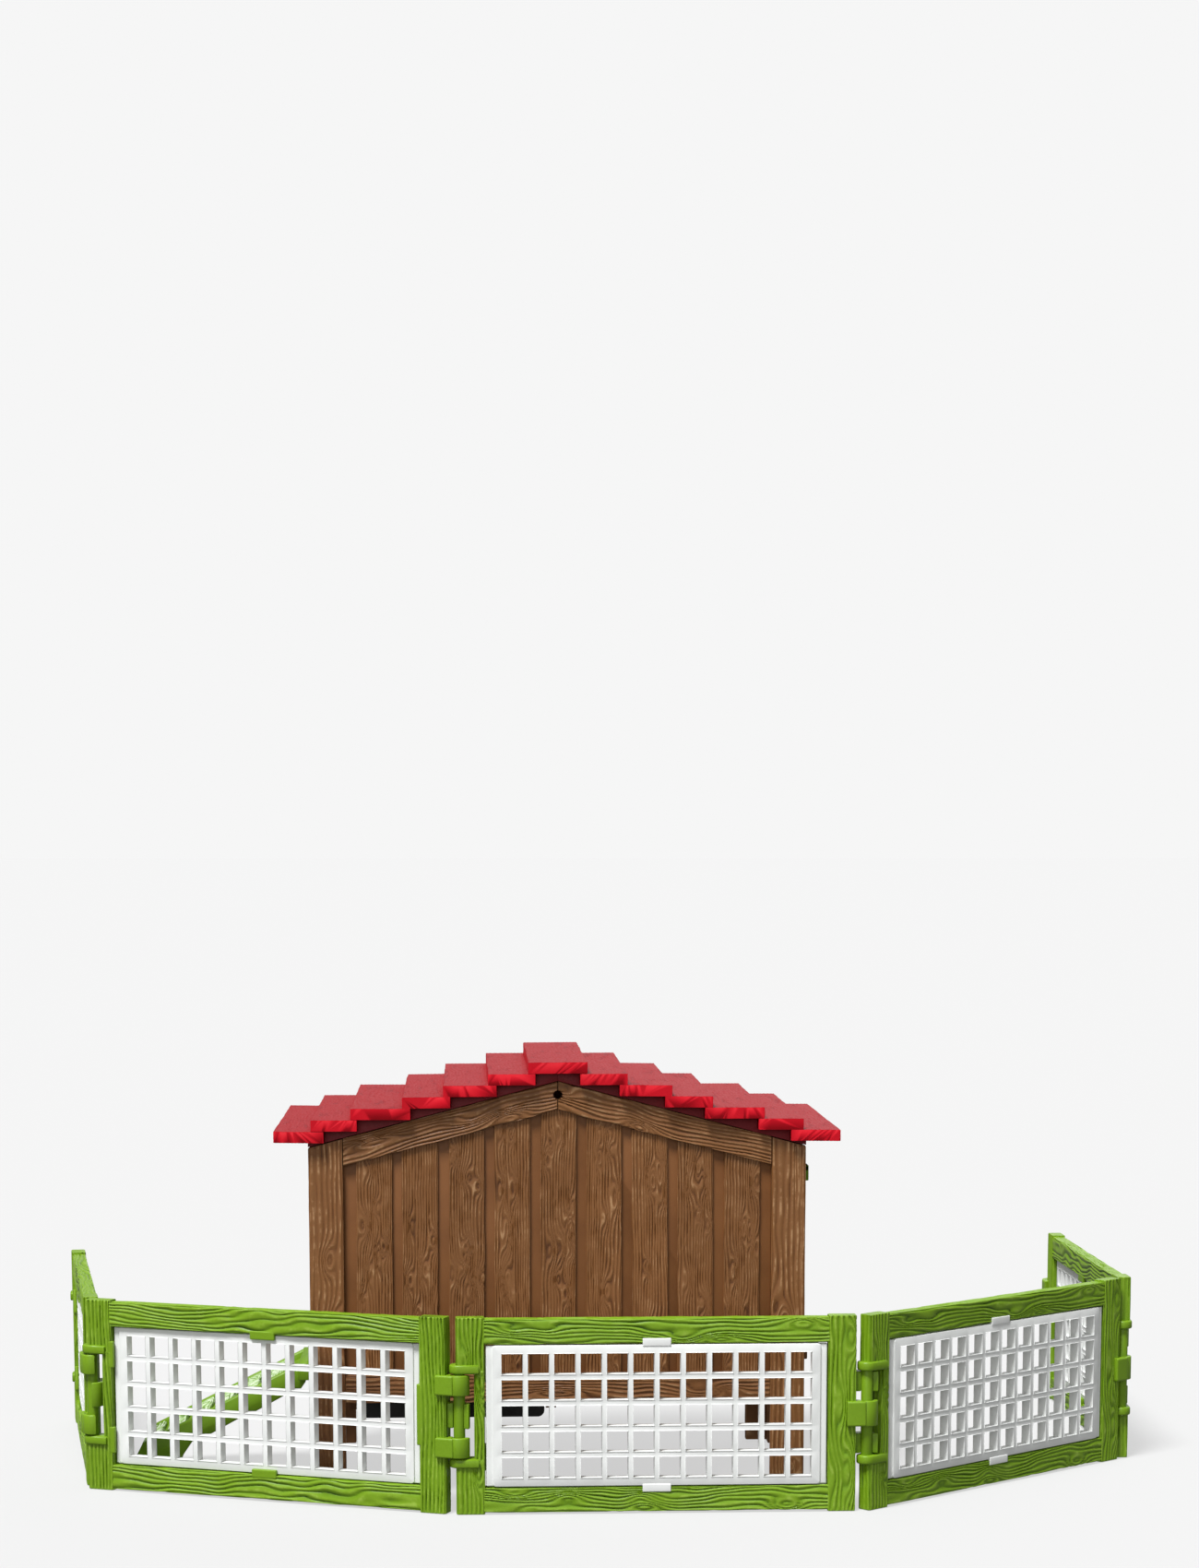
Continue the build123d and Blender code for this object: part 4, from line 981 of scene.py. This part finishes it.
def lattice(shell, width, height, thick, columns, rows, corner):
    """A plate centred on the origin with a grid of square holes, all its edges rounded."""
    def lines(count, size):
        centres = (np.arange(count) - (count - 1) / 2) * CELL
        inner = np.stack([centres - HOLE / 2, centres + HOLE / 2], -1).ravel()
        return [-size / 2, *inner, size / 2]

    xs, zs = lines(columns, width), lines(rows, height)
    bm = bmesh.new()
    at = {(i, j, y): bm.verts.new((x, y, z)) for i, x in enumerate(xs) for j, z in enumerate(zs)
          for y in (-thick / 2, thick / 2)}

    def side(a, b):
        bm.faces.new([at[(*a, -thick / 2)], at[(*b, -thick / 2)], at[(*b, thick / 2)], at[(*a, thick / 2)]])

    for i in range(len(xs) - 1):
        for j in range(len(zs) - 1):
            ring = [(i, j), (i + 1, j), (i + 1, j + 1), (i, j + 1)]
            if i % 2 and j % 2:
                for k in range(4):
                    side(ring[k], ring[k - 1])
                continue
            bm.faces.new([at[(*key, -thick / 2)] for key in ring])
            bm.faces.new([at[(*key, thick / 2)] for key in ring[::-1]])
    last_i, last_j = len(xs) - 1, len(zs) - 1
    for i in range(last_i):
        side((i + 1, 0), (i, 0))
        side((i, last_j), (i + 1, last_j))
    for j in range(last_j):
        side((0, j), (0, j + 1))
        side((last_i, j + 1), (last_i, j))
    corners = [e for e in bm.edges if all(abs(abs(v.co.x) - width / 2) < 1e-4
                                          and abs(abs(v.co.z) - height / 2) < 1e-4 for v in e.verts)]
    bmesh.ops.bevel(bm, geom=corners, offset=corner, segments=4, affect="EDGES", profile=0.5)
    sharp = [e for e in bm.edges if e.calc_face_angle(0.0) > 0.6]
    bmesh.ops.bevel(bm, geom=sharp, offset=GRID_EDGE, segments=2, affect="EDGES", profile=0.5)
    bm.verts.index_update()
    shell.add([tuple(v.co) for v in bm.verts], [[v.index for v in f.verts] for f in bm.faces])
    bm.free()


def fence_grid_shell():
    """The push-in grid with its lower end strips and its two tabs."""
    width = HOOK_STILE_IN - STILE_IN - 2 * GRID_PLAY
    height = FENCE_H - 2 * RAIL_H - 2 * GRID_PLAY
    middle, z_mid = (STILE_IN + HOOK_STILE_IN) / 2, FENCE_H / 2
    plate = Shell()
    lattice(plate, width - 2 * STRIP_W, height, GRID_T, COLUMNS, ROWS, 0.9)
    shell = plate.placed(lambda x, y, z: (middle + x, GRID_Y + y, z_mid + z))
    low_y, high_y = GRID_Y - GRID_T / 2 + STRIP_SET, GRID_Y + GRID_T / 2 - STRIP_SET
    for side in (-1, 1):
        x0, x1 = sorted((middle + side * (width / 2 - STRIP_W - STRIP_LAP), middle + side * width / 2))
        block(shell, (x0, low_y, z_mid - height / 2), (x1, high_y, z_mid + height / 2), 0.4, 2, 1,
              steps=(4.0, 1.0))
        z0, z1 = sorted((z_mid + side * (height / 2 - 0.5), z_mid + side * (height / 2 + TAB_OUT)))
        block(shell, (middle - TAB_HALF, FACE, z0), (middle + TAB_HALF, TAB_T + FACE, z1), 0.3,
              steps=(2.0, 1.0))
    return shell


def panel_turns():
    """Each panel's rod, turn about Z and whether it stands upside down."""
    rods = {"fence_centre": "fence_left_hinge", "fence_right": "fence_right_hinge",
            "fence_far_right": "fence_far_right_hinge", "fence_left": "fence_far_left_hinge"}
    grid_x = (STILE_IN + HOOK_STILE_IN) / 2

    def turn_about(at, name, x, y):
        """The turn that brings a grid's middle from (x, y), as seen from at, to its CAD place."""
        low, high = node_box(name + "_grid")
        away = (low + high) / 2 - DATUM - at
        return atan2(away[1], away[0]) - atan2(y, x)

    found = {}
    for name, joint in rods.items():
        flipped = name == "fence_left"
        turn = turn_about(JOINTS[joint], name, grid_x, -GRID_Y if flipped else GRID_Y)
        found[name] = (JOINTS[joint], turn, flipped)
    at = JOINTS["fence_far_left_hinge"]
    turn = turn_about(at, "fence_far_left", grid_x - PITCH, -GRID_Y)
    found["fence_far_left"] = (at - PITCH * np.array([cos(turn), sin(turn), 0]), turn, True)
    return found


def fence():
    """Five panels from one frame and one grid; the two at the left stand upside down."""
    shells = (fence_frame_shell(), "frame", GREEN), (fence_grid_shell(), "grid", WHITE)
    for name, (at, turn, flipped) in panel_turns().items():
        side = -1 if flipped else 1

        def place(x, y, z):
            y, z = side * y, z if side > 0 else FENCE_H - z
            return at[0] + x * cos(turn) - y * sin(turn), at[1] + x * sin(turn) + y * cos(turn), z

        for shell, part, material in shells:
            shell.placed(place).piece(f"{name}_{part}_moulding", material, name, f"{name}_{part}")


# ---- roof ----
OVERHANG = 2.5
COURSE_Z, COURSE_RISE, BOARD_T = 106.2, 3.34, 3.4
# each course's outer and inner edge, from the eaves up
COURSES = ((83.6, 68.6), (72.6, 58.9), (61.1, 43.2), (45.9, 31.4), (33.8, 18.0), (20.7, 6.4))
RIDGE_W = 17.5
UNDER_SET = 0.15       # how far the shell under the boards is set back from walls and gables
LIP_DROP, LIP_ROOT, LIP_T, LIP_GAP, SIDE_LIP_Y, END_LIP_X = 6.85, 0.5, 1.6, 0.5, 14.0, (34.0, 44.0)
CHIP, CHIP_REACH = 0.45, 1.2
RIDGE_Z = COURSE_Z + (len(COURSES) - 1) * COURSE_RISE + BOARD_T


def roof_board(shell, x0, x1, z, seed):
    """One level board that runs from gable to gable, with chipped ends."""
    draw = np.random.default_rng(seed)
    tilt, length = draw.uniform(-0.25, 0.25), DEPTH + 2 * OVERHANG
    grain = Grain(seed, 1.1, 1.3, 3, length, x1 - x0, 3.0)

    def place(u, v, w):
        at_end = np.clip((u - length + CHIP_REACH) / CHIP_REACH, 0, 1)
        chip = CHIP * at_end * (1 + noise(v / 0.8, w / 1.5, seed + 4)) / 2
        sway = 0.15 * noise(u / 5, np.sign(v) + 3.5, seed + 5)
        return ((x0 + x1) / 2 + v + sway * np.abs(v) / (x1 - x0), u - OVERHANG - chip,
                z + BOARD_T / 2 - w + tilt * v / (x1 - x0) - 0.06)

    board(shell, (length, x1 - x0, BOARD_T), place, grain, 0.14, 0.25, (0.8, 0.32),
          draw.uniform(-1, 1), 0.25, seed)


def under_boards(side):
    """The sloping shell below the boards, stepped up to their undersides."""
    shell = Shell()
    outline = [(HALF_W, EAVE_Z + UNDER_SET), (0, APEX_Z + UNDER_SET), (0, RIDGE_Z + 0.1)]
    for index in reversed(range(len(COURSES))):
        inner, z = COURSES[index][1], COURSE_Z + index * COURSE_RISE + 0.1
        outline += [(inner, outline[-1][1]), (inner, z)]
    outline.append((HALF_W, outline[-1][1]))
    prism(shell, [(side * x, z) for x, z in outline], UNDER_SET, DEPTH - UNDER_SET, 0.1)
    return shell


def locating_lips(shell, side):
    """Lips under a slope that hold the roof in place inside the walls."""
    inside_wall = HALF_W - WALL_T - LIP_GAP
    inside_gable = WALL_T + LIP_GAP
    runs = [((inside_wall - LIP_T, inside_wall), (SIDE_LIP_Y, DEPTH - SIDE_LIP_Y)),
            (END_LIP_X, (inside_gable, inside_gable + LIP_T)),
            (END_LIP_X, (DEPTH - inside_gable - LIP_T, DEPTH - inside_gable))]
    for (x0, x1), (y0, y1) in runs:
        outline = [(x0, roof_line(x0) - LIP_DROP), (x1, roof_line(x1) - LIP_DROP),
                   (x1, roof_line(x1) + LIP_ROOT), (x0, roof_line(x0) + LIP_ROOT)]
        prism(shell, [(side * x, z) for x, z in outline], y0, y1, 0.3)


def roof():
    for side, name in ((-1, "left"), (1, "right")):
        shell = Shell()
        for index, (outer, inner) in enumerate(COURSES):
            x0, x1 = sorted((side * outer, side * inner))
            roof_board(shell, x0, x1, COURSE_Z + index * COURSE_RISE, 700 + 20 * side + index)
        shell.piece(f"roof_{name}_boards", RED, "roof", f"roof_slope_{name}")
        underside = under_boards(side)
        locating_lips(underside, side)
        underside.piece(f"roof_{name}_underside", RED_SHADED, "roof")
    ridge = Shell()
    roof_board(ridge, -RIDGE_W / 2, RIDGE_W / 2, RIDGE_Z, 790)
    ridge.piece("ridge_board_moulding", RED, "roof", "ridge_board")


# ---- carried-over nodes ----
def paint(material, *names):
    """Gives CAD nodes that are shown as they are their finished material."""
    for name in names:
        mesh = frame["nodes"][name].data
        mesh.materials.clear()
        mesh.materials.append(material)


def carried_over():
    paint(BROWN_PLAIN, "floor_deck", "tray_runner_left", "tray_runner_right")
    # The tray's near black is partly its dark plastic and partly painted shade
    paint(TRAY_BLACK_AND_SHADE, "droppings_tray")
    paint(GREEN_SMOOTH, "front_door_right_rod", "front_door_left_rod", "side_door_rod", "ramp_rod")


# ---- stage ----
FLOOR_GREY, FLOOR_GLOW = 0.18, 0.594
KEY, FRONT, BACK, FILL = 4.8, 0.6, 0.7, 0.3


def floor():
    """A plain pale floor that meets the pale background."""
    mesh = bpy.data.meshes.new("floor")
    half = 30.0
    mesh.from_pydata([(-half, -half, 0), (half, -half, 0), (half, half, 0), (-half, half, 0)],
                     [], [(0, 1, 2, 3)])
    n = Nodes("floor_white")
    n.shader.inputs["Base Color"].default_value = (FLOOR_GREY, FLOOR_GREY, FLOOR_GREY, 1)
    n.shader.inputs["Roughness"].default_value = 1.0
    n.shader.inputs["Specular IOR Level"].default_value = 0.0
    n.shader.inputs["Emission Color"].default_value = (1, 1, 1, 1)
    n.shader.inputs["Emission Strength"].default_value = FLOOR_GLOW
    mesh.materials.append(n.material)
    obj = bpy.data.objects.new("floor", mesh)
    bpy.context.scene.collection.objects.link(obj)
    obj.visible_diffuse = False
    obj.visible_glossy = False


def lamp(name, strength, spread, *direction):
    """Light from far off, from a direction; spread in degrees softens its shadows."""
    light = bpy.data.lights.new(name, "SUN")
    light.energy = strength
    light.angle = radians(spread)
    obj = bpy.data.objects.new(name, light)
    obj.rotation_euler = Vector(direction).to_track_quat("Z", "Y").to_euler()
    bpy.context.scene.collection.objects.link(obj)


def lights():
    """A broad lamp high at the front left, weaker ones in front and behind, and a pale
    surrounding that the camera sees at full strength and the object only at FILL."""
    lamp("key", KEY, 18, -0.42, -0.55, 1.35)
    lamp("front", FRONT, 50, -0.2, -1.0, 0.35)
    lamp("back", BACK, 60, 0.5, 1.0, 0.5)
    world = bpy.data.worlds.new("studio")
    world.use_nodes = True
    tree = world.node_tree
    background = tree.nodes["Background"]
    background.inputs["Color"].default_value = linear(246, 246, 246)
    path = tree.nodes.new("ShaderNodeLightPath")
    strength = tree.nodes.new("ShaderNodeMapRange")
    strength.inputs["To Min"].default_value = FILL
    strength.inputs["To Max"].default_value = 1.0
    tree.links.new(path.outputs["Is Camera Ray"], strength.inputs["Value"])
    tree.links.new(strength.outputs["Result"], background.inputs["Strength"])
    bpy.context.scene.world = world


def camera():
    """A long lens a little above the hutch, its frame shifted upwards. Focal length, frame and
    optical centre are in units of the frame's 1300 by 1700."""
    focal, tall, wide = 3519.9, 1700, 1300
    centre_x, centre_y = 680.07, 1386.0
    place, tilt, turn = (-26.1, -953.6, 195.0), -7.738, -2.795
    data = bpy.data.cameras.new("camera")
    data.sensor_width = 36.0
    data.sensor_fit = "AUTO"
    data.lens = focal / tall * data.sensor_width
    data.shift_x = -(centre_x - wide / 2) / tall
    data.shift_y = (centre_y - tall / 2) / tall
    data.clip_start, data.clip_end = 0.01, 100
    obj = bpy.data.objects.new("camera", data)
    obj.location = (Vector(place) + Vector(DATUM)) * MM
    obj.rotation_euler = (radians(90 + tilt), 0, radians(turn))
    bpy.context.scene.collection.objects.link(obj)
    bpy.context.scene.camera = obj
    bpy.context.scene.view_settings.view_transform = "Standard"


camera()
lights()
floor()
rear_gable()
front_gable()
left_side_wall()
right_side_wall()
corner_posts()
front_doors()
side_door()
turn_button()
ramp()
roof()
fence()
carried_over()
